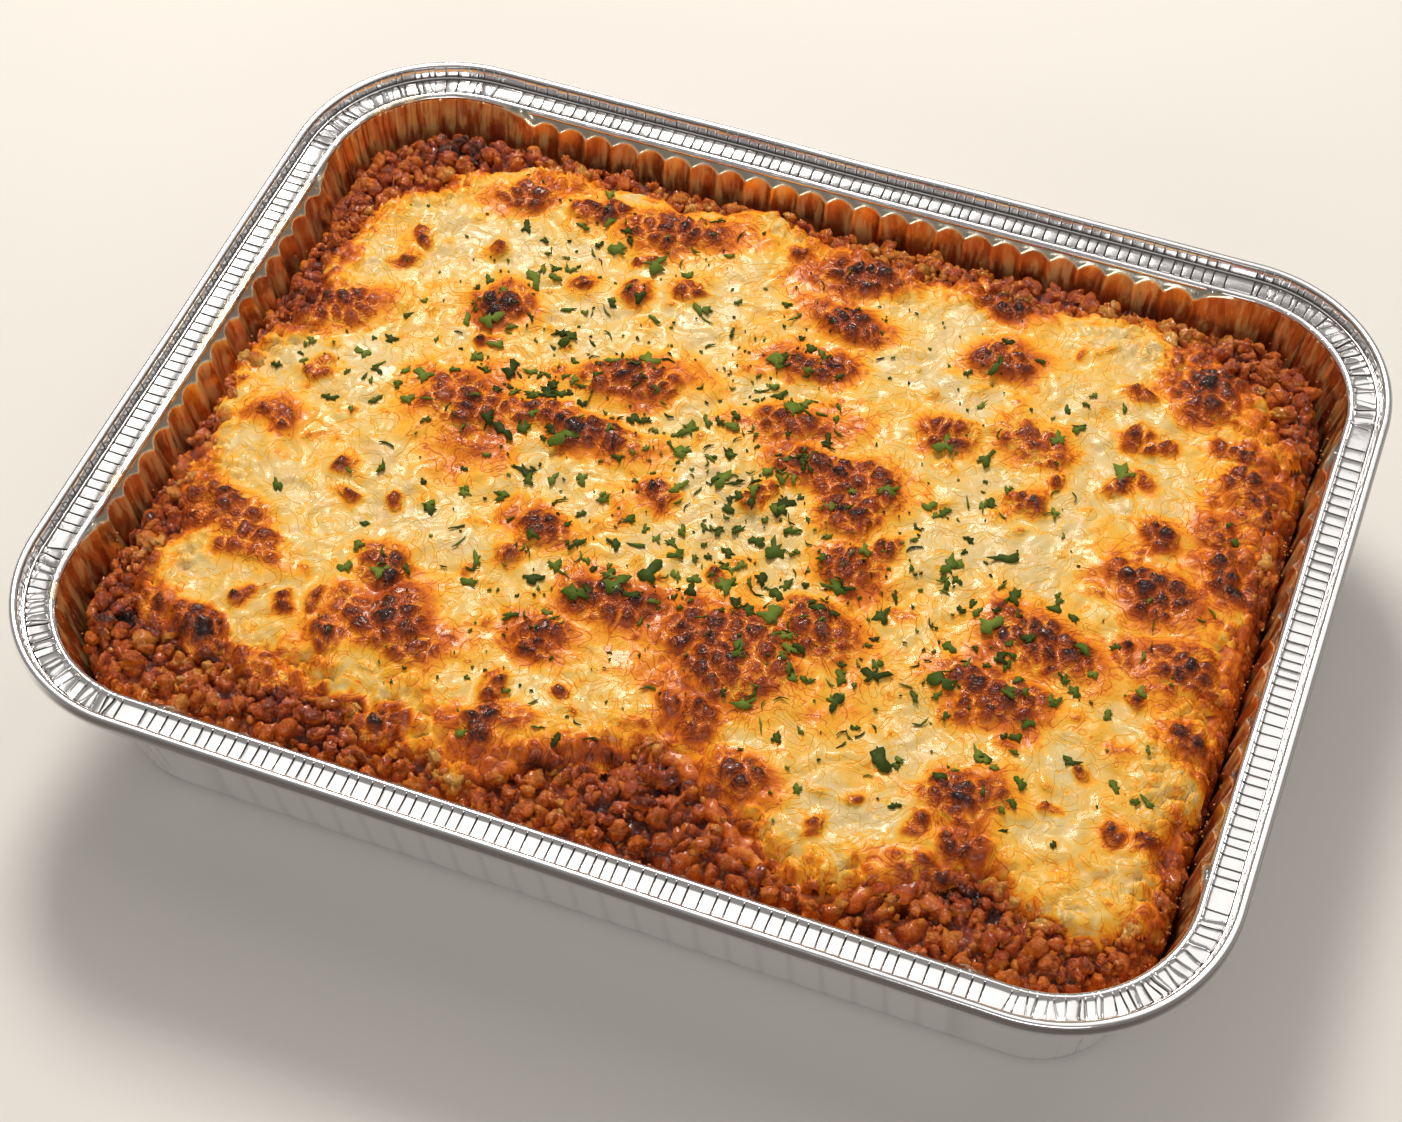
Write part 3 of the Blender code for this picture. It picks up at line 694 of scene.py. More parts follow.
# Single blisters between the patches: x, y, half width, darkness
BLISTERS = (
    (-93, 62, 4, 0.6), (-116, 52, 5, 0.45), (-112, 59, 3, 0.8), (-80, 31, 4, 0.5),
    (-62, 60, 5, 0.6), (-46, 61, 5, 0.6), (-34, 68, 5, 0.7), (-9, 92, 4, 0.7),
    (95, 72, 4, 0.7), (100, 59, 5, 0.85), (107, 58, 4, 0.8), (101, 88, 4, 0.7),
    (81, 36, 4, 0.6), (99, 40, 4, 0.6), (104, 45, 4, 0.5), (-119, 5, 5, 0.75),
    (-93, -33, 3.5, 0.6), (-81, -32, 3.5, 0.7), (-96, -23, 4, 0.5), (-44, -36, 5, 0.75),
    (-16, -5, 5, 0.7), (11, 5, 5, 0.6), (76, 27, 5, 0.7), (50, 1, 5, 0.75),
    (11, -25, 4, 0.7), (-14, -70, 3, 0.9), (-34, -75, 5, 0.7), (-106, -72, 4, 0.7),
    (-94, -69, 4, 0.7), (-85, -66, 4, 0.75), (-133, -70, 5, 0.9), (-139, -56, 4, 0.8),
    (115, -12, 4, 0.8), (121, -25, 4, 0.8), (63, -76, 3, 0.8), (82, -78, 4.5, 0.75),
    (93, -79, 5, 0.85), (22, -67, 6, 0.7), (13, -66, 4, 0.6), (57, -88, 3.5, 0.9),
    (126, -62, 4, 0.9), (133, -63, 3.5, 0.7), (115, -49, 3, 0.6), (108, -64, 2.5, 0.6),
    (-50, 74, 3, 0.5),
)


def browning(x, y):
    """Height of the mounds in mm, how browned each point is, and the oily halo round the patches.

    A patch's strength is exp(-1.1 * r^2), with r the distance in half lengths and half widths, on
    coordinates shifted a little by noise so that no outline is a plain oval. The halo reaches further.
    Between the patches, two in five cells of a coarse pattern hold a faint small blister.
    """
    wx = x + 3.0 * waves(x, y, 9.0, 61) + 1.2 * waves(x, y, 3.5, 63)
    wy = y + 3.0 * waves(x, y, 9.0, 65) + 1.2 * waves(x, y, 3.5, 67)
    first, _, owner = pebbles(wx, wy, 12.0, 69)
    faint = np.exp(-1.3 * (first * 12.0 / (1.6 + 2.4 * np.mod(owner * 7, 1))) ** 2) * (owner > 0.6)
    height, brown, halo = 0.8 * faint, 0.42 * faint, 0.4 * faint
    for px, py, half_length, half_width, degrees, tall, dark in PATCHES:
        angle = math.radians(degrees)
        along = ((wx - px) * math.cos(angle) + (wy - py) * math.sin(angle)) / half_length
        across = ((wy - py) * math.cos(angle) - (wx - px) * math.sin(angle)) / half_width
        strength = np.exp(-1.1 * (along**2 + across**2))
        height = np.maximum(height, tall * strength)
        brown = np.maximum(brown, strength * (0.55 + 0.45 * dark))
        halo = np.maximum(halo, strength**0.3)
    for px, py, half, dark in BLISTERS:
        strength = np.exp(-1.3 * ((wx - px) ** 2 + (wy - py) ** 2) / half**2)
        height = np.maximum(height, 0.5 * half * strength)
        brown = np.maximum(brown, strength * (0.4 + 0.5 * dark))
        halo = np.maximum(halo, 0.8 * strength**0.35)
    return height, brown, halo


print("Browned patches:", len(PATCHES), "and single blisters:", len(BLISTERS))


# %% [markdown]
# ## The cheese
# Melted cheese is one soft sheet, so it is a height for each place on a fine grid. The sheet is cut
# where it dips under the sauce. Its height is the shoulder at the edge, slow waves, the mounds, round
# nodules where it browned and faint strands elsewhere. Grid cells of 0.8 mm are small enough for a
# blister and keep the piece within its share of triangles.

# %% Cheese sheet
CELL, FIELD_X, FIELD_Y = 0.79, 144, 108


def cheese_height(x, y, depth, height, brown, nodules):
    """Shoulder + waves + mounds + nodules where browned + crumbs near the edge + curly shreds, in mm."""
    shoulder = np.sin(np.pi / 2 * np.clip(depth / SHOULDER, 0, 1))
    level, _, _ = sauce_level(x, y)
    level = level + 1.1 + (CHEESE_Z - SAUCE_CREST_Z - 1.1) * shoulder - 1.2 * np.clip(-depth, 0, 4)
    slow = shoulder * (0.9 * waves(x, y, 34.0, 71, 2) + 0.8 * waves(x, y, 12.0, 72, 2))
    crumbly = smooth(0.30, 0.55, brown)
    crumbs, _ = crumb_relief(x, y)
    margin = smooth(18, 2, depth) * smooth(-0.7, 0.3, waves(x, y, 11.0, 75))
    curl_x, curl_y = x + 2.4 * waves(x, y, 6.0, 74), y + 2.4 * waves(x, y, 6.0, 76)
    shreds = 0.55 * waves(curl_x, curl_y, 4.6, 77, 3)
    return (
        level
        + slow
        + height * (0.35 + 0.65 * shoulder)
        + crumbly * (2.4 * nodules - 0.8)
        + margin * crumbs * (1 - 0.6 * crumbly)
        + shreds * (1 - 0.5 * crumbly)
    )


def cheese_sheet():
    """Heights on a square grid, less the cells with a corner over 2.5 mm outside the cheese."""
    x, y = np.meshgrid(np.arange(-FIELD_X, FIELD_X + 0.1, CELL), np.arange(-FIELD_Y, FIELD_Y + 0.1, CELL))
    depth = into_cheese(x, y)
    height, brown, halo = browning(x, y)
    nodules, owner = nodule_relief(x, y)
    _, crumb = crumb_relief(x, y)
    z = cheese_height(x, y, depth, height, brown, nodules)
    faces = grid_faces(*x.shape, False)
    inside = (depth > -2.5).ravel()
    faces = faces[inside[faces].all(1)]
    used = np.zeros(x.size, bool)
    used[faces] = True
    faces = (np.cumsum(used) - 1)[faces]
    points = lifted(x, y, z).reshape(-1, 3)[used]
    brown = brown + 0.18 * smooth(0.3, 0.6, brown) * (owner - 0.5)
    marks = {"brown": brown, "halo": halo, "nodule": nodules, "crumb": crumb, "depth": depth}
    return points, faces, {name: values.ravel()[used] for name, values in marks.items()}


cheese_points, cheese_faces, cheese_marks = cheese_sheet()
cheese = piece("cheese_sheet", "cheese", cheese_points, [cheese_faces], cheese_marks)

# %% [markdown]
# ## The meat sauce
# Under the cheese the sauce is one body, and only its border shows. It is made of rings that follow the
# wall: the outer ones stand close together, because they carry the crumbs, and the inner ones lie
# hidden. Along the wall the sauce shrank as it baked, which leaves a dark, ragged gap.

# %% Sauce body


def sauce_height(x, y):
    """The sauce's level, less the gap at the wall, plus crumbs of two sizes, in mm."""
    level, inward, share = sauce_level(x, y)
    crumbs, _ = crumb_relief(x, y)
    right_side = smooth(120, 140, x)
    gap = 1.6 + (1.6 + 2.0 * right_side) * waves(x, y, 7.0, 97, 2) + 2.6 * right_side
    sunk = 6.5 * smooth(gap, 0, inward)
    under = 1.5 * smooth(1.0, 1.4, share)
    return level + crumbs * smooth(1.6, 1.2, share) - sunk - under


def inward_lines(count):
    """Where lines start at the sauce's edge, and their directions towards the nearest point of the core."""
    along = np.arange(count) * PATH / count
    x, y, _, _ = round_path(along, SAUCE_EDGE_INSET)
    in_x, in_y = np.clip(x, -CORE_X, CORE_X) - x, np.clip(y, -CORE_Y, CORE_Y) - y
    reach = np.hypot(in_x, in_y)
    return along, x, y, in_x / reach, in_y / reach


# The hidden side's rings as height and inset, and how far in from the edge each ring above it lies
SAUCE_SIDE = ((1.2, 25.8), (3.5, 23.4), (20, 20.6), (38, 17.5))
RING_STEPS = np.concatenate([np.arange(0, 24, 0.5), np.arange(24, 40, 1.4), [43, 48, 55]])


def sauce_rings():
    """Rings up the hidden side, then rings that move in from the edge towards the core step by step."""
    along, x, y, in_x, in_y = inward_lines(1480)
    rings = []
    for z, inset in SAUCE_SIDE:
        side_x, side_y, _, _ = round_path(along, inset)
        rings.append(lifted(side_x, side_y, z))
    for step in RING_STEPS:
        px, py = x + in_x * step, y + in_y * step
        rings.append(lifted(px, py, sauce_height(px, py)))
    return np.array(rings)


sauce_points, sauce_faces = ring_skin(sauce_rings(), [(0, 0, 1.2), (0, 0, 48.0)])
_, sauce_crumb = crumb_relief(*sauce_points.T[:2])
sauce_depth = into_cheese(*sauce_points.T[:2])
_, sauce_brown, _ = browning(*sauce_points.T[:2])
sauce_marks = {"crumb": sauce_crumb, "depth": sauce_depth, "brown": sauce_brown}
sauce = piece("sauce_body", "meat_sauce", sauce_points, sauce_faces, sauce_marks)

# %% [markdown]
# ## Crumbs of mince
# Mince breaks into knobbly lumps that no sheet can show, because they overhang. One lump is a small
# ball, of 320 faces where it is large and 80 where it is small. A few waves with sharp creases push its
# points in and out, and each lump gets its own waves, size and turn. All are joined into one mesh.

# %% Mince


def ball(subdivisions):
    """Points and faces of a unit ball of triangles."""
    mesh = bpy.data.meshes.new("ball")
    maker = bmesh.new()
    bmesh.ops.create_icosphere(maker, subdivisions=subdivisions, radius=1)
    maker.to_mesh(mesh)
    maker.free()
    points = np.array([vertex.co for vertex in mesh.vertices])
    faces = np.array([tuple(face.vertices) for face in mesh.polygons])
    bpy.data.meshes.remove(mesh)
    return points, faces


def turned(count):
    """Random rotation matrices, from random unit quaternions w, x, y, z."""
    q = rng.normal(size=(count, 4))
    w, x, y, z = (q / np.linalg.norm(q, axis=1)[:, None]).T
    rows = [
        [1 - 2 * (y * y + z * z), 2 * (x * y - z * w), 2 * (x * z + y * w)],
        [2 * (x * y + z * w), 1 - 2 * (x * x + z * z), 2 * (y * z - x * w)],
        [2 * (x * z - y * w), 2 * (y * z + x * w), 1 - 2 * (x * x + y * y)],
    ]
    return np.array(rows).transpose(2, 0, 1)


def knobbly(places, sizes, subdivisions, roughness):
    """Lumps at the places, squashed, turned and scaled, and how high on its lump each point is.

    The radius is 1 + roughness * strength * (2 * |sin(scale * distance + phase)| - 1), summed over three
    waves, with the distance measured along a random direction.
    """
    points, faces = ball(subdivisions)
    count = len(places)
    shape = np.ones((count, len(points)))
    for scale, strength in ((1.3, 0.9), (2.6, 0.8), (5.0, 0.7)):
        direction = rng.normal(size=(count, 3))
        phase = rng.uniform(0, 2 * np.pi, (count, 1))
        shape += roughness * strength * (2 * np.abs(np.sin(scale * direction @ points.T + phase)) - 1)
    body = points[None] * shape[..., None] * rng.uniform([0.85, 0.6, 0.5], [1.15, 0.95, 0.8], (count, 1, 3))
    body = np.einsum("nij,nkj->nki", turned(count), body)
    every = (faces[None] + (np.arange(count) * len(points))[:, None, None]).reshape(-1, 3)
    up = body[..., 2].ravel()
    return (body * sizes[:, None, None] / 2 + places[:, None]).reshape(-1, 3), every, up


def cell_centres(size, seed):
    """The scattered centres that the domes of this size and seed rise round."""
    i, j = np.meshgrid(np.arange(-30.0, 30), np.arange(-24.0, 24))
    i, j = (values[(abs(i) * size < 150) & (abs(j) * size < 114)] for values in (i, j))
    return (i + chance(i, j, seed)) * size, (j + chance(i, j, seed + 31)) * size


def strew(name, x, y, sizes, subdivisions, roughness, reach, sunk):
    """Lumps over the bare border and a little way in from the cheese's edge, fewer at the pasta's lips.

    Each stands on the sauce, sunk by a share of its size.
    """
    inward, _, _ = from_edge(x, y)
    sparse = swell(x, y, LIPS) * rng.uniform(0.3, 1.5, len(x)) < 0.8
    keep = (inward > 1.5) & (into_cheese(x, y) < reach) & sparse
    x, y = x[keep], y[keep]
    size = rng.uniform(*sizes, len(x))
    z = sauce_height(x, y) - size * rng.uniform(*sunk, len(x))
    points, faces, up = knobbly(lifted(x, y, z), size, subdivisions, roughness)
    tone = np.repeat(rng.uniform(0, 1, len(x)), len(points) // len(x))
    depth = into_cheese(points[:, 0], points[:, 1])
    _, brown, _ = browning(points[:, 0], points[:, 1])
    marks = {"tone": tone, "up": up, "depth": depth, "brown": brown}
    return piece(name, "meat_sauce", points, [faces], marks)


FINE_CRUMBS = 8600
crumb_x, crumb_y = cell_centres(CRUMB, CRUMB_SEED)
coarse_mince = strew("mince_coarse", crumb_x, crumb_y, (2.6, 5.3), 3, 0.28, 5.0, (0.0, 0.3))
crumb_x, crumb_y = rng.uniform([[-146], [-110]], [[146], [110]], (2, FINE_CRUMBS))
fine_mince = strew("mince_fine", crumb_x, crumb_y, (1.5, 3.2), 2, 0.26, 3.0, (0.0, 0.35))

# %% [markdown]
# ## Beads of fat
# Where the food meets the wall, small beads of fat hang on the foil and catch the light. They lie at
# random along the path, a little above the sauce, and are thickest on the right.

# %% Fat beads
BEADS = 420
bead_along = rng.uniform(0, PATH, BEADS)
bead_inset = rng.uniform(14.4, 17.5, BEADS)
bead_x, bead_y, _, _ = round_path(bead_along, bead_inset)
bead_keep = rng.uniform(0, 1, BEADS) < 0.25 + 0.75 * smooth(90, 135, bead_x)
bead_x, bead_y, bead_inset = bead_x[bead_keep], bead_y[bead_keep], bead_inset[bead_keep]
bead_z = 44.5 + 2.2 * (17.5 - bead_inset) + rng.uniform(-1.0, 1.0, len(bead_x))
bead_size = rng.uniform(0.35, 0.85, len(bead_x))
bead_points, bead_faces, _ = knobbly(lifted(bead_x, bead_y, bead_z), bead_size, 2, 0.02)
fat_beads = piece("fat_beads", "meat_sauce", bead_points, [bead_faces])

# %% [markdown]
# ## The pasta's lip
# A sheet of pasta curls at its edge in the oven. Its lip shows only at the right and at the front, where
# it stands out over the sauce with dark hollows below. It is a thin closed band that follows the
# cheese's edge. Its outer line rises and falls in ruffles, and elsewhere the band dips under the sauce.

# %% Pasta lip
# Share of the way in, lift and half thickness of five lines. Five more run back with the thickness below.
LIP_TOP = ((1.0, 0, 0.5), (0.6, 0.5, 0.5), (0.3, 1.0, 0.5), (0.1, 0.5, 0.45), (0.0, -0.6, 0.2))
LIP_SECTION = LIP_TOP + tuple((share, lift, -thick) for share, lift, thick in reversed(LIP_TOP))


def pasta_rings():
    """Ten lines round the band: over its top to the drooping ruffled edge, and back under it."""
    along, x, y, in_x, in_y = inward_lines(1400)
    shows = np.clip(swell(x, y, LIPS), 0, 1)
    uneven = waves(along, along * 0, 7.0, 101, 2)
    ruffle = np.sin(along / 1.75 + 2.5 * np.sin(along / 19.0)) * 0.6 + 0.5 * uneven
    start = np.maximum(cheese_start(x, y) - 0.5 - 4.5 * shows * (0.8 + 0.5 * ruffle), 2.6)
    end = np.maximum(cheese_start(x, y), 3.0) + 7
    rings = []
    for share, lift, thick in LIP_SECTION:
        step = start + (end - start) * share
        px, py = x + in_x * step, y + in_y * step
        level = np.minimum(sauce_level(px, py)[0], SAUCE_CREST_Z) + 0.3
        rough = 0.9 * waves(px, py, 4.5, 103, 2)
        raised = shows * (1.1 * lift + 1.3 * ruffle * (1 - share) ** 2 + rough)
        rings.append(lifted(px, py, level + raised + thick - 2.5 * (1 - shows)))
    return np.array(rings)


lip_points, lip_faces = ring_skin(pasta_rings())
lip = piece("pasta_lip", "pasta_sheet", lip_points, lip_faces)

# %% [markdown]
# ## Chopped herbs
# The largest leaves lie where the solids have them, strewn by the same rule: random places along a
# slanting band, none too close to another. Smaller scraps and crumbs of leaf are scattered round them.
# Each scrap is a thin closed plate with a lobed outline that bends a little, and rests on the cheese.

# %% Herb places
LEAVES, LEAF_SPACING = 54, 9.5
LEAF_BAND_TURN, LEAF_BAND_SPREAD, LEAF_FIELD = -24, (62, 34), (116, 80)


def from_band(along, across):
    """The place on the tray of a place measured along and across the turned band."""
    turn = math.radians(LEAF_BAND_TURN)
    x = along * math.cos(turn) - across * math.sin(turn)
    return x, along * math.sin(turn) + across * math.cos(turn)


def leaf_places(seed):
    """The rule that places the solids' leaves: a normal spread along and across a turned band."""
    draw = random.Random(seed)
    found = []
    for _ in range(LEAVES * 60):
        while True:
            x, y = from_band(*(draw.gauss(0, reach) for reach in LEAF_BAND_SPREAD))
            if abs(x) < LEAF_FIELD[0] and abs(y) < LEAF_FIELD[1]:
                break
        if len(found) < LEAVES and all(math.dist((x, y), other) > LEAF_SPACING for other in found):
            found.append((x, y))
    return np.array(found)


def surface_height(x, y):
    """The finished cheese's height at any place."""
    height, brown, _ = browning(x, y)
    nodules, _ = nodule_relief(x, y)
    return cheese_height(x, y, into_cheese(x, y), height, brown, nodules)


def band_places(count, spread, scatter):
    """Random places on the cheese, in loose groups round random centres on the band."""
    centres = rng.normal(size=(count // 5 + 1, 2)) * spread
    chosen = centres[rng.integers(0, len(centres), count)]
    x, y = from_band(*(chosen + rng.normal(size=(count, 2)) * scatter).T)
    keep = into_cheese(x, y) > 6
    return np.stack([x[keep], y[keep]], -1)


def scraps(name, places, sizes, jagged, thickness, slim=(0.4, 1.0), bow=0.0):
    """Torn plates: radius 0.66 + cosines of 2, 3 and 5 turns + random teeth, made slimmer and bowed.

    Each is then bent upwards a little and laid on the cheese.
    """
    count, steps = len(places), 16
    size = rng.uniform(*sizes, (count, 1))
    angle = np.linspace(0, 2 * np.pi, steps, endpoint=False)[None]
    phase = rng.uniform(0, 2 * np.pi, (3, count, 1))
    teeth = jagged * rng.uniform(-1, 1, (count, steps))
    radius = 0.66 + 0.2 * np.cos(2 * angle + phase[0]) + 0.17 * np.cos(3 * angle + phase[1])
    radius = (radius + 0.14 * np.cos(5 * angle + phase[2]) + teeth) * size / 2
    u, v = radius * np.cos(angle), radius * np.sin(angle) * rng.uniform(*slim, (count, 1))
    v = v + bow * rng.uniform(-1, 1, (count, 1)) * u**2 / size
    heading = rng.uniform(0, 2 * np.pi, (count, 1))
    bend = rng.uniform(-0.1, 0.22, (count, 1)) / size
    rim_x = places[:, :1] + u * np.cos(heading) - v * np.sin(heading)
    rim_y = places[:, 1:] + u * np.sin(heading) + v * np.cos(heading)
    rest = surface_height(rim_x, rim_y)
    middle = surface_height(places[:, :1], places[:, 1:])
    flat = 0.4 * rest + 0.6 * np.maximum(middle, rest.mean(1, keepdims=True))
    rim_z = flat + 0.35 + bend * u**2 * 1.5
    centre = np.concatenate([places, middle + 0.65], 1)
    plate = np.concatenate([centre[:, None], lifted(rim_x, rim_y, rim_z)], 1)
    half_up = np.array([0, 0, thickness / 2])
    points = np.concatenate([plate + half_up, plate - half_up], 1)
    here = 1 + np.arange(steps)
    after = 1 + (np.arange(steps) + 1) % steps
    top_fan = np.stack([here * 0, here, after], -1)
    bottom_fan = np.stack([here * 0, after, here], -1) + steps + 1
    fans = np.concatenate([top_fan, bottom_fan])
    sides = np.stack([here, here + steps + 1, after + steps + 1, after], -1)
    shift = (np.arange(count) * (2 * steps + 2))[:, None, None]
    tone = np.repeat(rng.uniform(0, 1, count), 2 * steps + 2)
    face_sets = [(fans[None] + shift).reshape(-1, 3), (sides[None] + shift).reshape(-1, 4)]
    return piece(name, "cheese", points.reshape(-1, 3), face_sets, {"tone": tone})


leaf_spots = leaf_places(8)
large_herbs = scraps("herb_leaves", leaf_spots, (6.0, 9.5), 0.3, 0.35)
small_herbs = scraps("herb_scraps", band_places(400, (66, 36), 9.0), (2.2, 5.4), 0.28, 0.3)
thread_spots = band_places(190, (68, 38), 10.0)
herb_threads = scraps("herb_threads", thread_spots, (2.5, 5.5), 0.1, 0.3, (0.1, 0.25), 1.4)
herb_specks = scraps("herb_specks", band_places(560, (74, 42), 12.0), (0.7, 1.7), 0.1, 0.3)

# %% [markdown]
# ## Writing shaders as sums
# A shader is a small calculation for each point: noise, thresholds and blends. Written as boxes and
# wires it is hard to read, so a small class lets a wire be added, multiplied and compared like a number.

# %% Shader helpers


class Wire:
    """An output of a node. Arithmetic on it adds Math nodes and gives a new wire."""

    def __init__(self, finish, socket):
        self.finish, self.socket = finish, socket

    def worked(self, operation, first, second):
        """The result of one Math node on two wires or numbers."""
        return self.finish.node("ShaderNodeMath", {"operation": operation}, {0: first, 1: second})

    def __add__(self, other):
        return self.worked("ADD", self, other)

    def __radd__(self, other):
        return self.worked("ADD", other, self)

    def __sub__(self, other):
        return self.worked("SUBTRACT", self, other)

    def __rsub__(self, other):
        return self.worked("SUBTRACT", other, self)

    def __mul__(self, other):
        return self.worked("MULTIPLY", self, other)

    def __rmul__(self, other):
        return self.worked("MULTIPLY", other, self)


class Finish:
    """A material with one Principled shader, whose fixed values are given as a dictionary."""

    def __init__(self, name, fixed):
        self.material = bpy.data.materials.new(name)
        self.material.use_nodes = True
        self.tree = self.material.node_tree
        self.shader = self.tree.nodes["Principled BSDF"]
        for socket, value in fixed.items():
            self.shader.inputs[socket].default_value = value

    def node(self, kind, settings, values, output=0):
        """A node with its settings set first, then its sockets' values or wires."""
        made = self.tree.nodes.new(kind)
        for setting, value in settings.items():
            if setting == "stops":
                while len(made.color_ramp.elements) < len(value):
                    made.color_ramp.elements.new(0.5)
                for element, (place, colour) in zip(made.color_ramp.elements, value):
                    element.position = place
                    element.color = (*colour, 1)
            else:
                setattr(made, setting, value)
        for socket, value in values.items():
            if isinstance(value, Wire):
                self.tree.links.new(value.socket, made.inputs[socket])
            else:
                made.inputs[socket].default_value = value
        return Wire(self, made.outputs[output])

    def mark(self, name):
        """The number that the mesh carries under this name."""
        return self.node("ShaderNodeAttribute", {"attribute_name": name}, {}, 2)

    def place(self):
        """The object's own coordinates."""
        return self.node("ShaderNodeTexCoord", {}, {}, 3)

    def noise(self, scale, detail=2.0, roughness=0.5, distortion=0.0, tall=1.0):
        """Noise from 0 to 1 on the object's own coordinates, with this many waves in a metre.

        Above 1, tall draws the noise out upwards into streaks.
        """
        place = self.place()
        if tall != 1:
            values = {0: place, 1: (1, 1, 1 / tall)}
            place = self.node("ShaderNodeVectorMath", {"operation": "MULTIPLY"}, values)
        values = {"Vector": place, "Scale": scale, "Detail": detail}
        values.update({"Roughness": roughness, "Distortion": distortion})
        return self.node("ShaderNodeTexNoise", {}, values)

    def slope(self, value, low, high, start=0.0, end=1.0):
        """A smooth change from start to end as the value goes from low to high."""
        settings = {"interpolation_type": "SMOOTHSTEP"}
        return self.node("ShaderNodeMapRange", settings, {0: value, 1: low, 2: high, 3: start, 4: end})

    def ramp(self, value, stops):
        """A colour from a list of positions and colours, blended between them."""
        return self.node("ShaderNodeValToRGB", {"stops": stops}, {0: value})

    def blend(self, share, first, second):
        """A mix of two colours."""
        first, second = (value if isinstance(value, Wire) else (*value, 1) for value in (first, second))
        return self.node("ShaderNodeMix", {"data_type": "RGBA"}, {0: share, 6: first, 7: second}, 2)

    def feed(self, **wires):
        """Links wires to the shader: base_color=... goes to Base Color."""
        for socket, wire in wires.items():
            self.tree.links.new(wire.socket, self.shader.inputs[socket.replace("_", " ").title()])

    def bump(self, height, distance, strength=1.0):
        """Relief that only the light sees, with the distance in metres for a height of 1."""
        values = {"Height": height, "Distance": distance, "Strength": strength}
        self.feed(normal=self.node("ShaderNodeBump", {}, values))

    def dress(self, *things):
        """Gives the finish to the things."""
        for thing in things:
            thing.data.materials.append(self.material)


# %% [markdown]
# ## Foil
# Bare aluminium foil is a bright metal with fine rolling marks. Inside the tray it carries a film of
# fat and sauce, which tints its reflections amber and gets darker towards the food. The film is thick in
# upright streaks, and there part of the light comes from its own colour and not from the metal. Dark
# lines of painted shade run in the grooves and folds, and a thin cream line of painted highlight marks
# each flute's arch.

# %% Foil finish
foil = Finish("bright foil", {"Metallic": 1.0})
stain = foil.mark("stain")
streaks = foil.noise(330, 4, 0.65, 0.3, tall=7)
drips = 0.55 * foil.noise(60, 3, 0.6) + 0.75 * streaks - 0.15
film = foil.ramp(
    drips,
    [
        (0.34, (0.62, 0.34, 0.14)),
        (0.46, (0.86, 0.55, 0.24)),
        (0.56, (0.95, 0.60, 0.20)),
        (0.66, (1.0, 0.70, 0.27)),
    ],
)
# Painted shade: where the seam mark is high the metal turns nearly black, for dark lines in grooves, folds
# and along the rolled edge.
clear_of_seam_shade = foil.slope(foil.mark("seam"), 0.75, 0.1)
metal_with_seam_shade = foil.blend(clear_of_seam_shade, (0.13, 0.11, 0.105), (0.92, 0.91, 0.91))
# Painted highlight: a thin cream line where the stain mark passes 0.35 to 0.5, at the top edge of each
# flute's arch.
arch = foil.slope(stain, 0.35, 0.5) * foil.slope(stain, 0.92, 0.7)
film_with_arch_highlight = foil.blend(0.9 * arch, film, (1.0, 0.84, 0.62))
film_with_arch_highlight = foil.blend(foil.slope(stain, 0.5, 0.35), film_with_arch_highlight, (0.62, 0.56, 0.45))
foil.feed(
    base_color=foil.blend(foil.slope(stain, 0.0, 0.12), metal_with_seam_shade, film_with_arch_highlight),
    roughness=0.14 + 0.07 * foil.noise(260, 2) + stain * (0.06 + 0.16 * streaks),
    metallic=1.0 - 0.4 * foil.slope(stain, 0.3, 0.6) * foil.slope(streaks, 0.47, 0.6),
)
foil.bump(foil.noise(300, 2, 0.5) + 4.0 * stain * streaks, 0.0004, 0.14)
foil.dress(foil_rim, foil_pan)
print("Foil:", len(foil.tree.nodes), "shader nodes")

# %% [markdown]
# ## Cheese
# The colour comes from how browned each point is. A ramp goes from pale cream through yellow and orange
# to red brown and nearly black, as cheese does in an oven, so each patch gets its yellow and orange
# halo by itself. Fine noise moves the borders, and a wet gloss gives the small glints. Thin curling
# lines stand for strands that melted into each other.

# %% Cheese finish
melt = Finish("melted cheese", {"IOR": 1.45, "Specular IOR Level": 0.24, "Coat Roughness": 0.05})
brown, nodule, depth = melt.mark("brown"), melt.mark("nodule"), melt.mark("depth")
mottle = melt.noise(70, 4, 0.62)
grain = melt.noise(420, 3, 0.6, 0.6)
oily = melt.noise(30, 3, 0.55)
curls = melt.noise(230, 1.5, 0.5, 3.2)
lines = melt.slope(curls, 0.50, 0.55) - melt.slope(curls, 0.55, 0.60)
folds = melt.noise(115, 1.0, 0.5, 2.0)
folded = melt.slope(folds, 0.47, 0.505) - melt.slope(folds, 0.505, 0.54)
edge = melt.slope(depth, 14.0, 0.0) * melt.slope(mottle, 0.3, 0.55)
rim = melt.slope(depth, 3.5, -1.5)
patch = melt.slope(brown, 0.25, 0.55)
heat = 0.04 + 0.50 * (mottle - 0.5) + 0.10 * (grain - 0.5) + 0.60 * (oily - 0.46)
oiled = melt.slope(melt.mark("halo") + 0.5 * (mottle - 0.5), 0.3, 0.8)
heat = heat + 0.18 * oiled + 0.10 * lines + 0.15 * folded
margin = edge * (0.08 + 0.25 * melt.mark("crumb")) + 0.24 * rim
heat = heat + margin * (1.0 - patch) + 0.48 * brown * (1.0 - 0.35 * rim) + 0.58 * (nodule - 0.45) * patch
heat = heat + 0.16 * melt.slope(brown, 0.85, 1.1)
crust = melt.ramp(
    heat,
    [
        (0.0, (0.69, 0.51, 0.23)),
        (0.10, (0.73, 0.475, 0.125)),
        (0.20, (0.84, 0.43, 0.034)),
        (0.30, (0.86, 0.32, 0.018)),
        (0.41, (0.70, 0.175, 0.010)),
        (0.56, (0.45, 0.080, 0.009)),
        (0.77, (0.21, 0.036, 0.008)),
        (0.96, (0.032, 0.011, 0.008)),
    ],
)
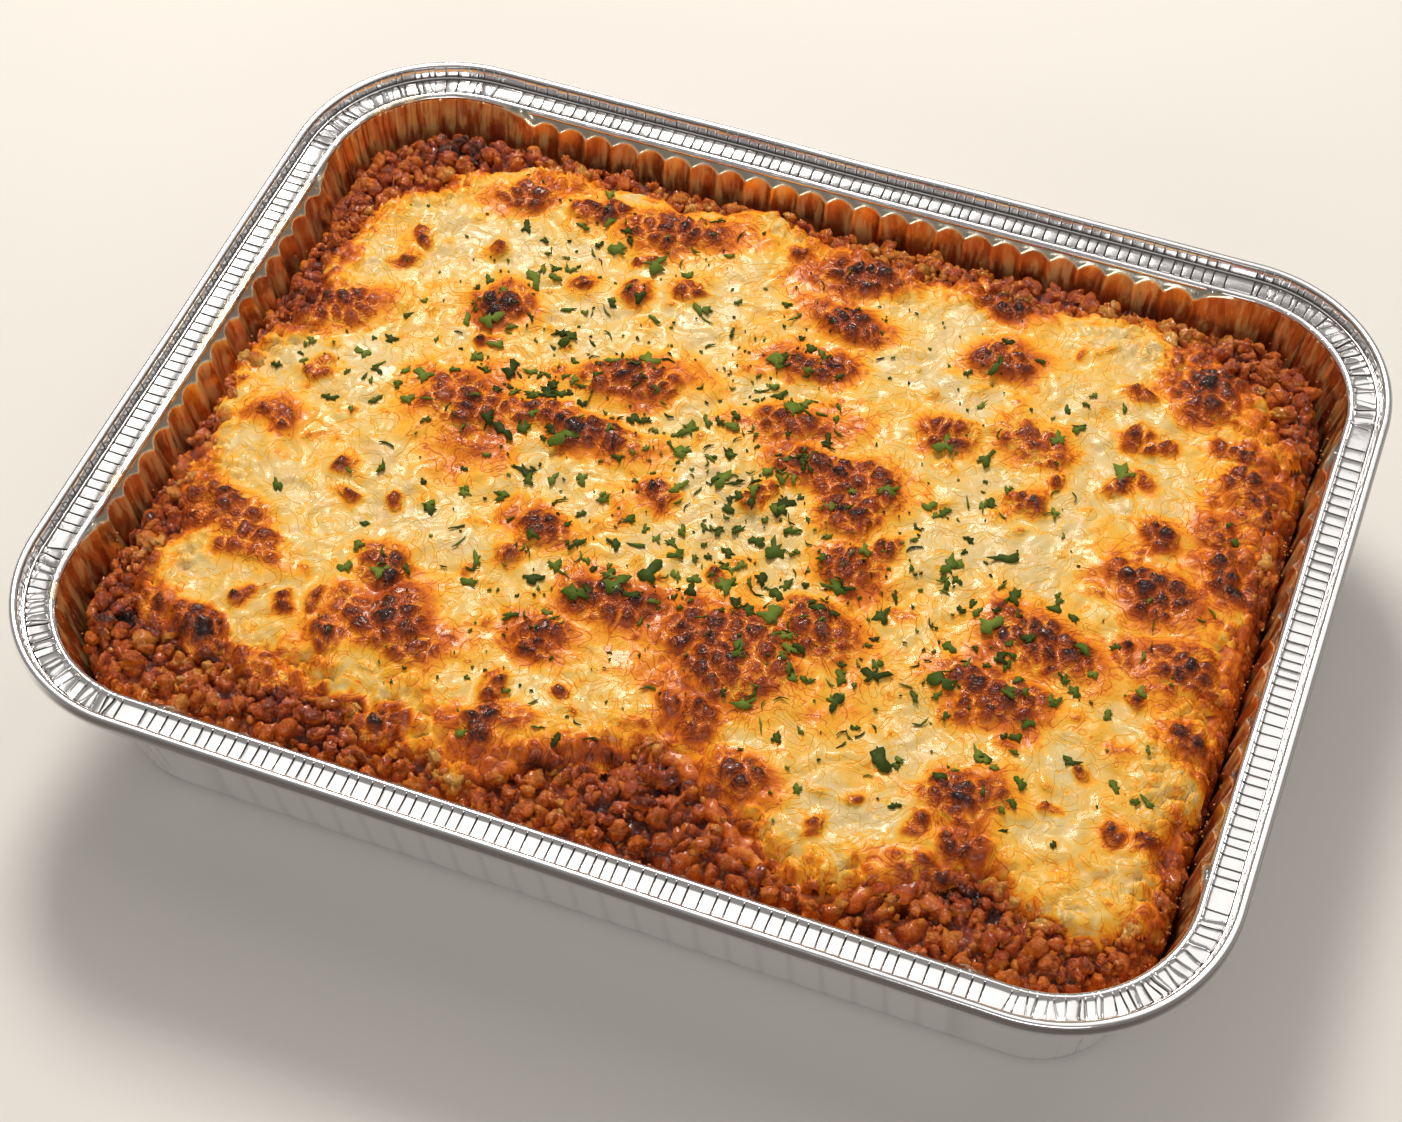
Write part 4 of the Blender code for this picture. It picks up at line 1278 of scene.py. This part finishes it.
pale = melt.slope(melt.noise(190, 2), 0.52, 0.66) * melt.slope(heat, 0.3, 0.1)
melt.feed(
    base_color=melt.blend(0.25 * pale, crust, (0.80, 0.42, 0.20)),
    roughness=0.32 - 0.05 * patch + 0.24 * (melt.noise(130, 2) - 0.5),
    coat_weight=0.22 * melt.slope(melt.noise(170, 3), 0.48, 0.66) + 0.03 + 0.12 * patch,
)
melt.bump(
    curls * (0.18 + 0.92 * patch) - 0.10 * folded + 0.25 * melt.noise(800, 2, 0.5, 1.5) * patch,
    0.0016,
    0.7,
)
melt.dress(cheese)
print("Cheese:", len(melt.tree.nodes), "shader nodes")

# %% [markdown]
# ## Sauce, mince, pasta and herbs
# The sauce is a wet red brown, with painted shade that darkens it almost to black in the hollows. Each
# crumb of mince has its own tone: some are browned on top and a few are pale, and painted shade darkens
# every crumb's lower flanks. The pasta is orange, stained by the sauce, the beads of fat are glossy, and
# the herbs are dark green.

# %% Other finishes
WET = {"Specular IOR Level": 0.5, "Coat Weight": 0.45, "Coat Roughness": 0.05}
SAUCE_STOPS = [
    (0.0, (0.040, 0.010, 0.004)),
    (0.22, (0.17, 0.024, 0.004)),
    (0.45, (0.55, 0.078, 0.004)),
    (0.68, (0.78, 0.175, 0.008)),
    (0.86, (0.80, 0.28, 0.020)),
    (1.0, (0.84, 0.41, 0.075)),
]


def saucy(finish, shade):
    """Sauce colours by shade: orange near the cheese, dark where browned, and wet and pitted all over."""
    near_cheese = finish.slope(finish.mark("depth"), -6.0, 1.0)
    shade = shade + 0.34 * near_cheese * finish.slope(finish.noise(95, 2), 0.36, 0.6)
    shade = shade + 0.44 * (finish.noise(210, 3, 0.6) - 0.5) + 0.75 * (finish.noise(42, 2) - 0.5)
    shade = shade - 0.30 * finish.slope(finish.mark("brown"), 0.3, 1.0)
    finish.feed(
        base_color=finish.ramp(shade, SAUCE_STOPS),
        roughness=0.14 + 0.25 * (finish.noise(500, 2) - 0.5),
    )
    finish.bump(finish.noise(520, 4, 0.7, 1.6), 0.0026, 0.85)


ragu = Finish("meat sauce", WET)
# Painted shade: the sauce is lighter on the crumbs' tops and darker in the hollows between them.
saucy(ragu, 0.25 + 0.34 * ragu.mark("crumb"))
ragu.dress(sauce)

mince = Finish("mince", WET)
browned_top = mince.slope(mince.mark("up"), 0.0, 0.8) * mince.slope(mince.mark("tone"), 0.3, 1.0)
bits = 0.24 * mince.slope(mince.mark("tone"), 0.05, 0.0)
# Painted shade: every crumb is darker on its lower flanks.
flank_shade = 0.24 * mince.slope(mince.mark("up"), 0.25, -0.4)
saucy(mince, 0.66 + 0.16 * mince.mark("tone") - 0.44 * browned_top + bits - flank_shade)
mince.dress(coarse_mince, fine_mince)

dough = Finish("baked pasta", {"Specular IOR Level": 0.2, "Coat Weight": 0.2, "Coat Roughness": 0.08})
dough.feed(
    base_color=dough.ramp(
        0.5 * dough.noise(110, 3) + 0.5 * dough.noise(380, 3, 0.6),
        [(0.36, (0.20, 0.024, 0.003)), (0.5, (0.48, 0.085, 0.005)), (0.64, (0.72, 0.25, 0.022))],
    ),
    roughness=0.42 + 0.1 * dough.noise(200, 2),
)
dough.bump(dough.noise(400, 3, 0.6), 0.0012, 0.6)
dough.dress(lip)

fat = Finish("beads of fat", {"Coat Weight": 1.0, "Coat Roughness": 0.03})
fat.feed(
    base_color=fat.ramp(fat.noise(60, 2), [(0.3, (0.25, 0.05, 0.005)), (0.7, (0.60, 0.24, 0.04))]),
    roughness=0.12 + 0.1 * fat.noise(300, 2),
)
fat.dress(fat_beads)

herb = Finish("chopped herbs", {"Specular IOR Level": 0.15})
herb.feed(
    base_color=herb.ramp(
        herb.mark("tone") + 0.4 * (herb.noise(500, 2) - 0.5),
        [(0.0, (0.028, 0.042, 0.004)), (0.5, (0.070, 0.115, 0.010)), (1.0, (0.16, 0.21, 0.025))],
    ),
    roughness=0.55 + 0.1 * herb.noise(200, 2),
)
herb.bump(herb.noise(1500, 2), 0.0004, 0.4)
herb.dress(large_herbs, small_herbs, herb_threads, herb_specks)
for finish in (ragu, mince, dough, fat, herb):
    print(finish.material.name + ":", len(finish.tree.nodes), "shader nodes")
